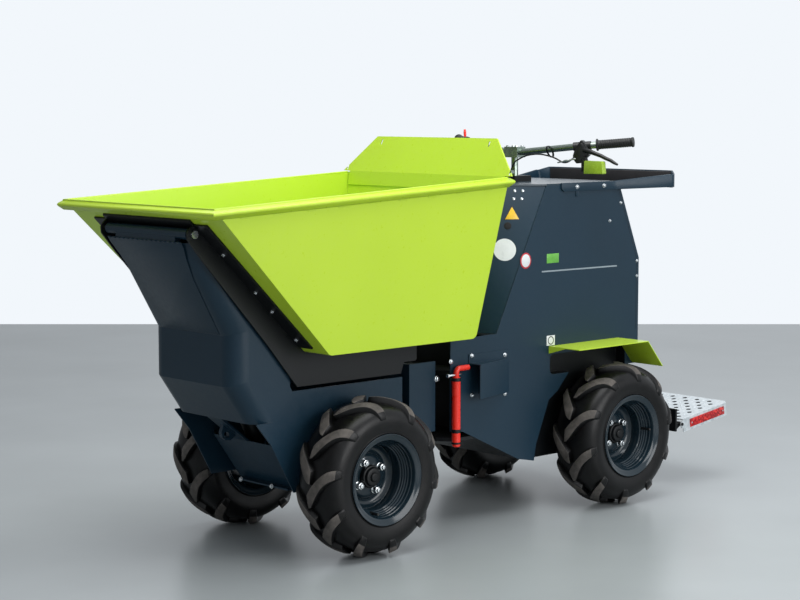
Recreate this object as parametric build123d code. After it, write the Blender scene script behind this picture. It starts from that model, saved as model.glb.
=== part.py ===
from build123d import *
import os
from math import atan2, cos, degrees, hypot, radians, sin, sqrt, tan

# Articulated four-wheel site dumper with a forward-tipping skip and a fold-up step for the driver.
# Millimetres. +X forward, +Y to the driver's left, +Z up. Pieces are laid out from the front
# axle, with heights that put it at AXLE_Z, and the last lines move them all so that the tyres
# stand on the floor and the origin is at the middle of the machine's footprint.

# ---- Driving dimensions ----------------------------------------------------------------------
WHEELBASE = 1183.0
TRACK = 648.0                  # between the middles of the tyres

# Wheels, size 20 x 8.00 - 10
TYRE_D = 508.0                 # over the lugs, 20 inch
TYRE_W = 186.0
TYRE_T = 12.0
RIM_FLANGE_D = 290.0
RIM_SEAT_D = 254.0             # bead seat, 10 inch
RIM_WELL_D = 210.0
RIM_W = 178.0                  # over the flanges
RIM_T = 5.0
DISC_OUT = -7.0                # wheel disc's inner face, outboard of the tyre's middle
DISC_T = 6.0
HUB_D = 76.0
HUB_L = 84.0
BOLT_CIRCLE = 105.0
WHEEL_BOLTS = 4
WHEEL_BOLT_D = 15.0
AXLE_Z = 245.0
AXLE_D = 60.0
AXLE_L = 440.0
SPINDLE_D = 40.0
FIT = 0.05                     # radial clearance of every running pin

# Front chassis
CHASSIS_W = 430.0
CHASSIS_T = 5.0
CHASSIS_BOTTOM_Z = 205.0
CHASSIS_TOP_Z = 528.0
CHASSIS_REAR_X = -247.0
NOSE_X = 453.0                 # upright front face
NOSE_LOW_Z = 559.0
NOSE_HIGH_Z = 717.0
NOSE_TOP_X, NOSE_TOP_Z = 624.0, 1011.0
MOUTH_X, MOUTH_Z = 366.0, 434.0        # lower edge of the slanted face
CORNER_R = 60.0
PANEL_TOP_X, PANEL_TOP_Z = 256.0, 351.0  # lower panel
PANEL_LOW_X, PANEL_LOW_Z = 146.0, 196.0
PANEL_HALF = 150.0             # half width of its flat middle
SIDE_BACK = 46.0               # from the skip's front wall to the chassis sides, along X

# Tip hinge
HINGE_X, HINGE_Z = 608.0, 1038.0
HINGE_TUBE_D = 34.0
HINGE_TUBE_L = 420.0
HINGE_PIN_D = 20.0

# Skip
SKIP_T = 4.0
FLOOR_Z = 650.0
FLOOR_FRONT_X = 182.0
FLOOR_REAR_X = -455.0
FLOOR_HALF_W = 350.0
LIP_X, LIP_Z = 656.0, 1120.0
BACK_X, BACK_Z = -555.0, 1181.0
SIDE_FLARE = 0.0974            # outward per unit of height
FLOOR_BEND_R = 22.0
RIM_OUT = 19.0                 # folded rim, beyond the walls' top edge
RIM_DROP = 13.0                # down to its widest line
RIM_FOLD = 31.0                # down to its underside
RIM_T2 = 3.0
GUARD_TOP_X, GUARD_TOP_Z = -607.0, 1307.0
GUARD_TOP_HALF = 294.0
GUARD_FOOT_HALF = 421.0
GUARD_T = 4.0

# Carrier under the skip
CARRIER_HALF = 228.0           # over its side plates
CARRIER_T = 6.0
CARRIER_DEPTH = 80.0           # in front of the skip's front wall
CARRIER_FLANGE_HALF = 295.0
CARRIER_LOW_Z = 542.0
CARRIER_TAIL_Z = 579.0
CARRIER_TAIL_X = -229.0        # where its deep part ends
CARRIER_REAR_X = -300.0

# Tipping ram
RAM_FOOT_X, RAM_FOOT_Z = 180.0, 330.0
RAM_EYE_X, RAM_EYE_Z = 416.0, 808.0
RAM_BARREL_D = 70.0
RAM_BARREL_L = 430.0
RAM_ROD_D = 35.0
RAM_EYE_D = 42.0
RAM_EYE_W = 30.0
RAM_PIN_D = 25.0

# Centre joint
PIVOT_X = -470.0               # upright pin between the two halves
PIVOT_PIN_D = 40.0
POST_FRONT_X = -279.0
POST_REAR_X = -398.0
POST_LOW_Z = 329.0
POST_HIGH_Z = 566.0
POST_T = 8.0
POST_WEB_T = 12.0
POST_WEB_LOW_Z = 345.0
POST_WEB_HIGH_Z = 470.0
PIVOT_BARREL_D = 80.0
PIVOT_BARREL_Z = (306.0, 494.0)
SWIVEL_D = 200.0
SWIVEL_Z = 430.0
LOWER_PLATE_Z = (288.0, 300.0)
UPPER_LUG_Z = (500.0, 515.0)
UPPER_LUG_R = 70.0

# Rear body
BODY_W = 500.0
SHEET_T = 4.0
BODY_TOP_Z = 1140.0
BODY_REAR_X = -1401.0
BODY_LOW_Z = 175.0
REAR_KINK_Z = 862.0
REAR_UPPER_X, REAR_UPPER_Z = -1297.0, 1114.0
BODY_TOP_REAR_X = -1290.0
BULKHEAD_X = -600.0
SHELF_Z = 640.0
CHEEK_FRONT_X = -435.0
CHEEK_TOP_Z = 632.0
CHEEK_LOW_Z = 327.0
CREASE_Z = (640.0, 795.0, 1140.0)
CREASE_X = (-654.0, -730.0, -900.0)
HOOD_X = (-600.0, -628.0, -695.0)
HOOD_HALF = 120.0
COVER_T = 6.0
WHEELHOUSE_HALF = 205.0        # half width of the body between the rear wheels

# Outline of the rear wheel's arch, from the body's bottom edge forward of the wheel
ARCH = [(-846, 60), (-846, 175), (-856, 231), (-921, 384), (-966, 412), (-1035, 484), (-1035, 520),
        (-1330, 520), (-1330, 473), (-1500, 473), (-1500, 60)]
WINDOW_X = (-1330.0, -925.0)
WINDOW_Z = (473.0, 545.0)
WINDOW_R = 18.0

# Fenders, guard rail, step
FENDER_Z = 575.0
FENDER_FRONT_X = -918.0
FENDER_BEND_X = -1288.0
FENDER_TIP_X, FENDER_TIP_Z = -1371.0, 478.0
FENDER_W = 145.0
FENDER_T = 3.0
RAIL_T = 6.0
RAIL_LOW_Z = 1117.0
RAIL_ARM_Z = 1147.0
RAIL_REAR_Z = 1180.0
RAIL_FRONT_X = -973.0
RAIL_FLARE_X = -1250.0
RAIL_CORNER_X = -1487.0
RAIL_REAR_X = -1528.0
RAIL_HALF_W = 346.0
STEP_PIVOT_X, STEP_PIVOT_Z = -1574.0, 230.0
STEP_L = 282.0
STEP_W = 650.0
STEP_H = 50.0
STEP_T = 3.0
STEP_TILT = 7.6
STEP_PIN_D = 12.0
STEP_BEAM_X = -1550.0

# Steering bar
COLUMN_X = -1000.0
COLUMN_D = 25.0
BAR_Z = 1252.0
BAR_D = 24.0
GRIP_D = 31.0
GRIP_L = 130.0
HOUSING_AT = 180.0             # lever housing's middle, from the bar's end
CABLE_D = 5.6

CH = CHASSIS_W / 2
BODY = BODY_W / 2


# ---- Helpers ---------------------------------------------------------------------------------
def slab(points, low, high, across="Y"):
    """A straight prism: its outline lies square to one axis and runs from low to high along it."""
    place = {
        "X": lambda a, b: (low, a, b),
        "Y": lambda a, b: (a, low, b),
        "Z": lambda a, b: (a, b, low),
    }[across]
    way = {"X": (1, 0, 0), "Y": (0, 1, 0), "Z": (0, 0, 1)}[across]
    outline = Polyline(*[place(a, b) for a, b in points], close=True)
    return extrude(make_face(outline), high - low, dir=way)


def both(points, low, high):
    """The same prism square to Y on the left and on the right."""
    return slab(points, low, high) + slab(points, -high, -low)


def block(x, y, z):
    """A box between the two ends of each range."""
    size = [x[1] - x[0], y[1] - y[0], z[1] - z[0]]
    return Pos(sum(x) / 2, sum(y) / 2, sum(z) / 2) * Box(*size)


def rect(a, b):
    """The corners of a rectangle between the two ends of each range."""
    return [(a[0], b[0]), (a[1], b[0]), (a[1], b[1]), (a[0], b[1])]


def rod(start, end, diameter):
    """A round bar between two points."""
    axis = Vector(*end) - Vector(*start)
    plane = Plane(origin=start, z_dir=axis)
    return plane * Cylinder(diameter / 2, axis.length, align=(Align.CENTER, Align.CENTER, Align.MIN))


def cross_rod(x, z, low, high, diameter):
    """A round bar along Y."""
    return rod((x, low, z), (x, high, z), diameter)


def mirrored(part):
    """The same piece on the other side of the machine."""
    return mirror(part, about=Plane.XZ)


def offset_path(points, by):
    """The points of an open path, moved to its left by a distance, with mitred corners."""
    moved = []
    for i, (x, z) in enumerate(points):
        ways = []
        if i > 0:
            ways.append((x - points[i - 1][0], z - points[i - 1][1]))
        if i < len(points) - 1:
            ways.append((points[i + 1][0] - x, points[i + 1][1] - z))
        normals = [(-dz / hypot(dx, dz), dx / hypot(dx, dz)) for dx, dz in ways]
        nx = sum(n[0] for n in normals)
        nz = sum(n[1] for n in normals)
        scale = by * len(normals) / (nx * nx + nz * nz)
        moved.append((x + nx * scale, z + nz * scale))
    return moved


def bent_sheet(points, thick):
    """The section of a folded sheet: the path and its copy one thickness to the left."""
    return points + offset_path(points, thick)[::-1]


def between(a, b, share):
    """The value a share of the way from a to b."""
    return a + (b - a) * share


def ring(profile):
    """Turns a profile of (across, radius) points about a wheel's axis, which lies along Y."""
    face = make_face(Polyline(*[(r, a, 0) for a, r in profile], close=True))
    return revolve(face, Axis.Y)


# ---- Wheels ----------------------------------------------------------------------------------
def rim():
    """Pressed rim, stepped disc and hub, with the outboard side towards +Y."""
    flange, seat, well = RIM_FLANGE_D / 2, RIM_SEAT_D / 2, RIM_WELL_D / 2
    edge = RIM_W / 2
    lip = edge - RIM_T
    t = RIM_T
    left = [(-edge, seat - t), (-edge, flange), (-lip, flange), (-lip, seat), (-lip + 26, seat), (-30, well)]
    right = [(-a, r) for a, r in left[::-1]]
    under = [(lip - 27, seat - t), (31, well - t), (-31, well - t), (-lip + 27, seat - t)]
    barrel = ring(left + right + under)
    disc_r = well - t
    a0, a1 = DISC_OUT, DISC_OUT + DISC_T
    dish = [(a0, 22), (a0, 68), (a0 - 14, 76), (a0 - 14, disc_r), (a0 - 14 + DISC_T, disc_r)]
    dish += [(a0 - 14 + DISC_T, 80), (a1, 72), (a1, 22)]
    disc = ring(dish)
    hub_r, bore_r = HUB_D / 2, SPINDLE_D / 2 + FIT
    h0 = DISC_OUT + 34 - HUB_L
    h1 = h0 + HUB_L
    hub = ring([(h0, bore_r), (h0, hub_r), (h1 - 10, hub_r), (h1, hub_r - 8), (h1, 0), (h1 - 8, 0), (h1 - 8, bore_r)])
    wheel = barrel + disc + hub
    for i in range(WHEEL_BOLTS):
        hole = rod((BOLT_CIRCLE / 2, a0 - 5, 0), (BOLT_CIRCLE / 2, a1 + 5, 0), WHEEL_BOLT_D)
        wheel -= Rot(0, 360 / WHEEL_BOLTS * i + 22, 0) * hole
    return wheel


def tyre():
    """Open tyre casing with its beads on the rim, over the lugs."""
    seat = RIM_SEAT_D / 2
    bead = RIM_W / 2 - RIM_T - 0.3
    half = TYRE_W / 2
    t = TYRE_T
    r = TYRE_D / 2
    outer = [(bead, seat + 0.3), (bead, seat + 20), (half, seat + 46), (half, r * 0.84), (half * 0.84, r * 0.947), (half * 0.43, r)]
    inner = [(half * 0.4, r - t), (half * 0.78, r * 0.947 - t), (half - t, r * 0.84 - 4), (half - t, seat + 46)]
    inner += [(bead - t, seat + 24), (bead - t - 6, seat + 0.3)]
    return ring(outer + [(-a, b) for a, b in outer[::-1]] + [(-a, b) for a, b in inner[::-1]] + inner)


def axle_beam(x):
    """Beam with its two spindles, which run in the hubs."""
    tip = TRACK / 2 + DISC_OUT + 34 - 8 - 5
    beam = cross_rod(x, AXLE_Z, -AXLE_L / 2, AXLE_L / 2, AXLE_D)
    return beam + cross_rod(x, AXLE_Z, -tip, tip, SPINDLE_D)


# ---- Front chassis ---------------------------------------------------------------------------
def wall_x(z):
    """X of the skip's sloping front wall at a height."""
    return between(FLOOR_FRONT_X, LIP_X, (z - FLOOR_Z) / (LIP_Z - FLOOR_Z))


def face_channel(start, end, inset):
    """A long block behind one flat face of the nose, rounded where the face turns into the sides."""
    dx, dz = end[0] - start[0], end[1] - start[1]
    run = hypot(dx, dz)
    plane = Plane(origin=(start[0] - dx / run * 600, 0, start[1] - dz / run * 600), x_dir=(0, 1, 0), z_dir=(dx, 0, dz))
    section = Pos(0, inset) * Rectangle(CHASSIS_W - 2 * inset, 1200, align=(Align.CENTER, Align.MIN))
    section = fillet(section.vertices().sort_by(Axis.Y)[:2], CORNER_R - inset)
    return extrude(plane * section, run + 1200)


def nose_form(inset):
    """The nose and sides as one block, moved inwards by a distance."""
    mouth, low, high = (MOUTH_X, MOUTH_Z), (NOSE_X, NOSE_LOW_Z), (NOSE_X, NOSE_HIGH_Z)
    top = (NOSE_TOP_X, NOSE_TOP_Z)
    lean = degrees(atan2(top[0] - high[0], top[1] - high[1])) / 2
    c, s = cos(radians(lean)), sin(radians(lean))
    x, z = high
    ends = [(x - 1000 * c, z + 1000 * s), (x + 400 * c, z - 400 * s)]
    below = slab(ends + [(x + 400, 0), (x - 1000, 0)], -CH, CH)
    above = slab(ends + [(x + 400, z + 1500), (x - 1000, z + 1500)], -CH, CH)
    lower = face_channel(mouth, low, inset) & face_channel(low, high, inset)
    return (lower & below) + (face_channel(high, top, inset) & above)


def front_chassis():
    """Welded chassis: nose and sides from bent sheet, belly, rear wall and ram lugs."""
    outline = [(CHASSIS_REAR_X, MOUTH_Z), (MOUTH_X, MOUTH_Z), (NOSE_X, NOSE_LOW_Z), (NOSE_X, NOSE_HIGH_Z)]
    outline += [(NOSE_TOP_X, NOSE_TOP_Z), (wall_x(NOSE_TOP_Z) + SIDE_BACK, NOSE_TOP_Z)]
    outline += [(wall_x(640) + SIDE_BACK, 640), (232, 545), (222, CHASSIS_TOP_Z), (CHASSIS_REAR_X, CHASSIS_TOP_Z)]
    shell = (nose_form(0) - nose_form(CHASSIS_T)) & slab(outline, -CH, CH)
    side = [(CHASSIS_REAR_X, CHASSIS_BOTTOM_Z), (218, CHASSIS_BOTTOM_Z), (308, 366), (MOUTH_X - 2, MOUTH_Z)]
    side += [(MOUTH_X - 2, MOUTH_Z + 4), (CHASSIS_REAR_X, MOUTH_Z + 4)]
    shell += both(side, CH - CHASSIS_T, CH)
    inner = CH - CHASSIS_T
    belly_z = CHASSIS_BOTTOM_Z + CHASSIS_T
    front, back = PANEL_LOW_X - 12, PANEL_LOW_X - 64
    floor = [(CHASSIS_REAR_X, -inner), (CHASSIS_REAR_X, inner), (back, inner), (front, 140), (front, -140), (back, -inner)]
    shell += slab(floor, CHASSIS_BOTTOM_Z, belly_z, across="Z")
    shell += block((CHASSIS_REAR_X, CHASSIS_REAR_X + 6), (-inner, inner), (CHASSIS_BOTTOM_Z, CHASSIS_TOP_Z))
    shell -= cross_rod(0, AXLE_Z, -CH - 1, CH + 1, AXLE_D)
    lug = [(96, belly_z), (146, belly_z), (RAM_FOOT_X + 24, RAM_FOOT_Z - 6), (RAM_FOOT_X + 12, RAM_FOOT_Z + 24)]
    lug += [(RAM_FOOT_X - 18, RAM_FOOT_Z + 24), (RAM_FOOT_X - 32, RAM_FOOT_Z)]
    shell += both(lug, RAM_BARREL_D / 2 + 6, RAM_BARREL_D / 2 + 16)
    return shell + cross_rod(RAM_FOOT_X, RAM_FOOT_Z, -RAM_BARREL_D / 2 - 22, RAM_BARREL_D / 2 + 22, RAM_PIN_D)


def lower_panel():
    """Lower front, set back from the slanted face, with folded wings out to the side plates."""
    half = CH - CHASSIS_T
    path = [(PANEL_TOP_X - 46, half), (PANEL_TOP_X, PANEL_HALF), (PANEL_TOP_X, -PANEL_HALF), (PANEL_TOP_X - 46, -half)]
    outline = bent_sheet(path, -CHASSIS_T)
    face = make_face(Polyline(*[(a, b, PANEL_TOP_Z) for a, b in outline], close=True))
    run, drop = PANEL_TOP_X - PANEL_LOW_X, PANEL_TOP_Z - PANEL_LOW_Z
    panel = extrude(face, hypot(run, drop), dir=(-run, 0, -drop))
    toe = block((PANEL_LOW_X - 8, PANEL_LOW_X + 26), (-128, 128), (PANEL_LOW_Z - 5, PANEL_LOW_Z))
    return (panel & block((0, NOSE_X), (-half, half), (0, PANEL_TOP_Z))) + toe


def tow_eye():
    """Sloping strap across the opening below the nose, with a bored eye for towing and lashing."""
    panel_x, panel_z = PANEL_TOP_X, PANEL_TOP_Z
    strap = [(panel_x - 5, panel_z), (panel_x + 6, panel_z), (MOUTH_X, MOUTH_Z), (MOUTH_X - 11, MOUTH_Z)]
    run, rise = MOUTH_X - panel_x - 6, MOUTH_Z - panel_z
    length = hypot(run, rise)
    point = lambda up, out: (panel_x + 6 + (run * up + rise * out) / length, panel_z + (rise * up - run * out) / length)
    eye = [point(30, -1), point(length - 40, -1), point(length - 48, 24), point(length / 2 + 4, 34)]
    eye += [point(length / 2 - 12, 34), point(38, 24)]
    bore = point(length / 2 - 4, 19)
    return (slab(strap, -37, 37) + slab(eye, -7, 7)) - cross_rod(bore[0], bore[1], -8, 8, 20)


def hinge_tube():
    """Tube along the top of the nose, bored for the tip pins."""
    half = HINGE_TUBE_L / 2
    tube = cross_rod(HINGE_X, HINGE_Z, -half, half, HINGE_TUBE_D)
    ear = [(NOSE_TOP_X, NOSE_TOP_Z), (NOSE_TOP_X - 20, NOSE_TOP_Z), (HINGE_X - 14, HINGE_Z - 6), (HINGE_X + 14, HINGE_Z - 6)]
    seat = slab(ear, -CH + CORNER_R, CH - CORNER_R)
    return tube + seat - cross_rod(HINGE_X, HINGE_Z, -half - 1, half + 1, HINGE_PIN_D + 2 * FIT)


def hinge_post():
    """Box behind the chassis with the upright barrel of the centre joint."""
    half = CH
    post = block((POST_FRONT_X - POST_T, POST_FRONT_X), (-half, half), (POST_LOW_Z, POST_HIGH_Z))
    post += both(rect((POST_REAR_X, POST_FRONT_X - POST_T), (POST_LOW_Z, POST_HIGH_Z)), half - POST_T, half)
    inner = half - POST_T
    web = [(POST_FRONT_X - POST_T, -inner), (POST_FRONT_X - POST_T, inner), (POST_REAR_X, inner)]
    web += [(PIVOT_X, 36), (PIVOT_X, -36), (POST_REAR_X, -inner)]
    for z in (POST_WEB_LOW_Z, POST_WEB_HIGH_Z):
        post += slab(web, z, z + POST_WEB_T, across="Z")
    low, high = PIVOT_BARREL_Z
    post += rod((PIVOT_X, 0, low), (PIVOT_X, 0, high), PIVOT_BARREL_D)
    post += rod((POST_FRONT_X, 0, SWIVEL_Z), (CHASSIS_REAR_X, 0, SWIVEL_Z), SWIVEL_D * 0.96)
    return post - rod((PIVOT_X, 0, low - 1), (PIVOT_X, 0, high + 1), PIVOT_PIN_D + 2 * FIT)


# ---- Skip ------------------------------------------------------------------------------------
def tub_form(inset, extra):
    """The skip's outer form, or the form of its inside when moved inwards by the sheet."""
    slope_f = (LIP_X - FLOOR_FRONT_X) / (LIP_Z - FLOOR_Z)
    slope_b = (BACK_X - FLOOR_REAR_X) / (BACK_Z - FLOOR_Z)
    floor = FLOOR_Z + inset
    low_f = FLOOR_FRONT_X + slope_f * inset - inset * sqrt(1 + slope_f ** 2)
    low_b = FLOOR_REAR_X + slope_b * inset + inset * sqrt(1 + slope_b ** 2)
    top_f, top_b = LIP_Z + extra, BACK_Z + extra
    side = [(low_b, floor), (low_f, floor), (low_f + slope_f * (top_f - floor), top_f)]
    side += [(low_b + slope_b * (top_b - floor), top_b)]
    profile = slab(side, -700, 700)
    bends = [e for e in profile.edges().filter_by(Axis.Y) if e.center().Z < FLOOR_Z + 20]
    profile = fillet(bends, FLOOR_BEND_R - inset)
    low_w = FLOOR_HALF_W + SIDE_FLARE * inset - inset * sqrt(1 + SIDE_FLARE ** 2)
    high = BACK_Z + extra + 10
    high_w = low_w + SIDE_FLARE * (high - floor)
    ends = [(-low_w, floor), (low_w, floor), (high_w, high), (-high_w, high)]
    return profile & slab(ends, BACK_X - 200, LIP_X + 200, across="X")


def skip_tub():
    """Open skip with a sloping front wall."""
    return tub_form(0, 0) - tub_form(SKIP_T, 60)


def rim_level(drop, out):
    """A loop round the skip, parallel to its sloping edge: dropped below it and spread outwards."""
    slope = (BACK_Z - LIP_Z) / (BACK_X - LIP_X)
    corners = []
    for edge_x, edge_z, way in ((LIP_X, LIP_Z, 1), (BACK_X, BACK_Z, -1)):
        x = edge_x + way * out
        half = FLOOR_HALF_W + SIDE_FLARE * (edge_z - FLOOR_Z) + out
        corners.append((x, half, edge_z + slope * (x - edge_x) - drop))
    (xf, yf, zf), (xb, yb, zb) = corners
    return make_face(Polyline((xf, -yf, zf), (xf, yf, zf), (xb, yb, zb), (xb, -yb, zb), close=True))


def skip_rim():
    """Folded rim: out to its widest line, back under it and level to the wall, hollow inside."""
    t = RIM_T2
    wide = RIM_OUT - t * 1.5
    body = loft([rim_level(0, 0), rim_level(RIM_DROP, RIM_OUT)], ruled=True)
    body += loft([rim_level(RIM_DROP, RIM_OUT), rim_level(RIM_FOLD, 0)], ruled=True)
    core = loft([rim_level(t * 1.5, -t), rim_level(RIM_DROP, wide)], ruled=True)
    core += loft([rim_level(RIM_DROP, wide), rim_level(RIM_FOLD - t, -t)], ruled=True)
    return body - core - tub_form(0, 60)


def spill_guard():
    """Plate inside the rear wall, folded back over the rim, with four slots."""
    slope_b = (BACK_X - FLOOR_REAR_X) / (BACK_Z - FLOOR_Z)
    gap = SKIP_T * sqrt(1 + slope_b ** 2)
    inner = lambda z: FLOOR_REAR_X + slope_b * (z - FLOOR_Z) + gap
    low, fold = BACK_Z - 46, BACK_Z + 2
    path = [(inner(low), low), (inner(fold), fold), (GUARD_TOP_X, GUARD_TOP_Z)]
    half_low = FLOOR_HALF_W + SIDE_FLARE * (low - FLOOR_Z) - SKIP_T - 6
    sheet = slab(bent_sheet(path, -GUARD_T), -GUARD_FOOT_HALF, GUARD_FOOT_HALF)
    outline = [(-half_low, low - 1), (half_low, low - 1), (half_low, fold + 2), (GUARD_FOOT_HALF, fold + 3)]
    outline += [(GUARD_TOP_HALF, GUARD_TOP_Z + 6), (-GUARD_TOP_HALF, GUARD_TOP_Z + 6)]
    outline += [(-GUARD_FOOT_HALF, fold + 3), (-half_low, fold + 2)]
    guard = sheet & slab(outline, BACK_X - 200, BACK_X + 200, across="X")
    for y, z in ((268, 1289), (405, 1197)):
        for s in (-1, 1):
            guard -= block((GUARD_TOP_X - 60, BACK_X + 60), (s * y - 4, s * y + 4), (z - 8, z + 8))
    return guard


def on_wall(up, out):
    """A point near the skip's front wall: up along it from the floor, and out square to it."""
    run = hypot(LIP_X - FLOOR_FRONT_X, LIP_Z - FLOOR_Z)
    ux, uz = (LIP_X - FLOOR_FRONT_X) / run, (LIP_Z - FLOOR_Z) / run
    return (FLOOR_FRONT_X + ux * up + uz * out, FLOOR_Z + uz * up - ux * out)


def skip_carrier():
    """Welded frame under the skip: side plates, flanges, cross bars and the ram's lugs."""
    out, inner = CARRIER_HALF, CARRIER_HALF - CARRIER_T
    side = [(CARRIER_REAR_X, FLOOR_Z), (CARRIER_REAR_X, CARRIER_TAIL_Z + 6), (CARRIER_REAR_X + 6, CARRIER_TAIL_Z)]
    side += [(CARRIER_TAIL_X - 14, CARRIER_TAIL_Z), (CARRIER_TAIL_X, CARRIER_LOW_Z), (212, CARRIER_LOW_Z)]
    side += [on_wall(130, CARRIER_DEPTH), on_wall(500, CARRIER_DEPTH - 22), (HINGE_X + 21, HINGE_Z - 16), (HINGE_X + 23, HINGE_Z + 4)]
    side += [(HINGE_X + 12, HINGE_Z + 20), on_wall(596, 6), on_wall(596, 0), on_wall(4, 0), (FLOOR_FRONT_X - 4, FLOOR_Z)]
    frame = both(side, inner, out)
    flange = [on_wall(30, 0), on_wall(596, 0), on_wall(596, CARRIER_T), on_wall(30, CARRIER_T)]
    frame += both(flange, out, CARRIER_FLANGE_HALF)
    header = [on_wall(500, 0), on_wall(616, 0), on_wall(612, CARRIER_T), on_wall(500, CARRIER_T)]
    frame += slab(header, -out, out)
    foot = [(CARRIER_REAR_X + 20, FLOOR_Z - CARRIER_T), (FLOOR_FRONT_X - 40, FLOOR_Z - CARRIER_T)]
    foot += [(FLOOR_FRONT_X - 40, FLOOR_Z), (CARRIER_REAR_X + 20, FLOOR_Z)]
    frame += both(foot, out, CARRIER_FLANGE_HALF)
    frame += cross_rod(HINGE_X, HINGE_Z, inner, out, 44) + cross_rod(HINGE_X, HINGE_Z, -out, -inner, 44)
    for x in (-240.0, 60.0):
        frame += block((x - 30, x + 30), (-inner, inner), (FLOOR_Z - 40, FLOOR_Z))
    bar = [on_wall(150, 0), on_wall(330, 0), on_wall(330, 8), on_wall(150, 8)]
    frame += both(bar, RAM_EYE_W / 2 + 6, inner)
    lug = [on_wall(190, 8), on_wall(320, 8), on_wall(300, 76), on_wall(256, 76)]
    frame += both(lug, RAM_EYE_W / 2 + 6, RAM_EYE_W / 2 + 16)
    return frame - cross_rod(HINGE_X, HINGE_Z, -out - 1, out + 1, HINGE_PIN_D)


def tip_pins():
    """Bolts from the carrier's side plates into the hinge tube."""
    pins = []
    for s in (-1, 1):
        pin = cross_rod(HINGE_X, HINGE_Z, *sorted((s * 130, s * CARRIER_HALF)), HINGE_PIN_D)
        pin += cross_rod(HINGE_X, HINGE_Z, *sorted((s * CARRIER_HALF, s * (CARRIER_HALF + 9))), 24)
        pins.append(pin)
    return pins[0] + pins[1]


# ---- Tipping ram -----------------------------------------------------------------------------
RAM_L = hypot(RAM_EYE_X - RAM_FOOT_X, RAM_EYE_Z - RAM_FOOT_Z)


def on_ram(distance):
    """A point on the ram's line, measured from its foot pin."""
    share = distance / RAM_L
    return (between(RAM_FOOT_X, RAM_EYE_X, share), 0, between(RAM_FOOT_Z, RAM_EYE_Z, share))


def ram_barrel():
    """Barrel bored for the rod, with a bored foot."""
    barrel = rod(on_ram(-30), on_ram(RAM_BARREL_L), RAM_BARREL_D)
    barrel -= cross_rod(RAM_FOOT_X, RAM_FOOT_Z, -60, 60, RAM_PIN_D + 2 * FIT)
    return barrel - rod(on_ram(18), on_ram(RAM_BARREL_L + 1), RAM_ROD_D + 2 * FIT)


def ram_rod():
    """Rod with its eye between the carrier's lugs."""
    shaft = rod(on_ram(24), on_ram(RAM_L - 10), RAM_ROD_D)
    return shaft + cross_rod(RAM_EYE_X, RAM_EYE_Z, -RAM_EYE_W / 2, RAM_EYE_W / 2, RAM_EYE_D)


# ---- Rear body -------------------------------------------------------------------------------
def rear_frame():
    """Bulkhead, pivot plates and belly of the rear body, welded together."""
    half = BODY - SHEET_T
    low0, low1 = LOWER_PLATE_Z
    lower = [(PIVOT_X + 45, -190), (PIVOT_X + 45, 190), (PIVOT_X, half), (BULKHEAD_X - 4, half)]
    lower += [(BULKHEAD_X - 4, -half), (PIVOT_X, -half)]
    frame = slab(lower, low0, low1, across="Z")
    frame += block((BULKHEAD_X - SHEET_T, BULKHEAD_X), (-half, half), (low1, SHELF_Z))
    high0, high1 = UPPER_LUG_Z
    lug = [(PIVOT_X, -UPPER_LUG_R), (PIVOT_X, UPPER_LUG_R), (BULKHEAD_X, half), (BULKHEAD_X, -half)]
    frame += slab(lug, high0, high1, across="Z")
    frame += rod((PIVOT_X, 0, high0), (PIVOT_X, 0, high1), 2 * UPPER_LUG_R)
    frame -= rod((PIVOT_X, 0, low0 - 1), (PIVOT_X, 0, high1 + 1), PIVOT_PIN_D)
    for s in (-1, 1):
        shelf = [(BULKHEAD_X - 2, s * (HOOD_HALF - 20)), (BULKHEAD_X - 2, s * half), (CREASE_X[0] - 10, s * half)]
        frame += slab(shelf, SHELF_Z - SHEET_T, SHELF_Z, across="Z")
    return frame + belly()


def belly():
    """Underside of the rear body, narrower between the wheels."""
    half = BODY - SHEET_T
    path = [(BODY_REAR_X + SHEET_T, BODY_LOW_Z), (-846, BODY_LOW_Z), (-764, 192), (-562, LOWER_PLATE_Z[0])]
    sheet = slab(bent_sheet(path, SHEET_T), -half, half)
    trim = block((BODY_REAR_X, -846), (WHEELHOUSE_HALF, half + 1), (BODY_LOW_Z - 1, BODY_LOW_Z + 20))
    return sheet - trim - mirrored(trim)


def pivot_pin():
    """Upright pin, held by the rear body's two plates."""
    return rod((PIVOT_X, 0, LOWER_PLATE_Z[0] - 12), (PIVOT_X, 0, UPPER_LUG_Z[1] + 14), PIVOT_PIN_D)


def arch_sketch():
    """The wheel's room and the window above it, as seen from the side."""
    room = make_face(Polyline(*ARCH, close=True))
    width, height = WINDOW_X[1] - WINDOW_X[0], WINDOW_Z[1] - WINDOW_Z[0]
    window = RectangleRounded(width, height, WINDOW_R)
    return room + Pos(sum(WINDOW_X) / 2, sum(WINDOW_Z) / 2) * window


def side_plate(sketch, low, high):
    """Stands a side-view sketch up and makes it a plate between two distances from the middle."""
    plane = Plane(origin=(0, low, 0), x_dir=(1, 0, 0), z_dir=(0, -1, 0))
    return extrude(plane * sketch, high - low, dir=(0, 1, 0))


def body_side():
    """Left side panel with its cheek in front and the wheel arch behind."""
    outline = [(CHEEK_FRONT_X, CHEEK_LOW_Z), (CHEEK_FRONT_X, CHEEK_TOP_Z), (BULKHEAD_X, SHELF_Z)]
    outline += list(zip(CREASE_X, CREASE_Z))
    outline += [(BODY_TOP_REAR_X, BODY_TOP_Z), (REAR_UPPER_X, REAR_UPPER_Z), (BODY_REAR_X, REAR_KINK_Z)]
    outline += [(BODY_REAR_X, BODY_LOW_Z), (-846, BODY_LOW_Z), (-764, 192), (-494, 320)]
    panel = slab(outline, BODY - SHEET_T, BODY)
    return panel - side_plate(arch_sketch(), BODY - 20, BODY + 20)


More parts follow.
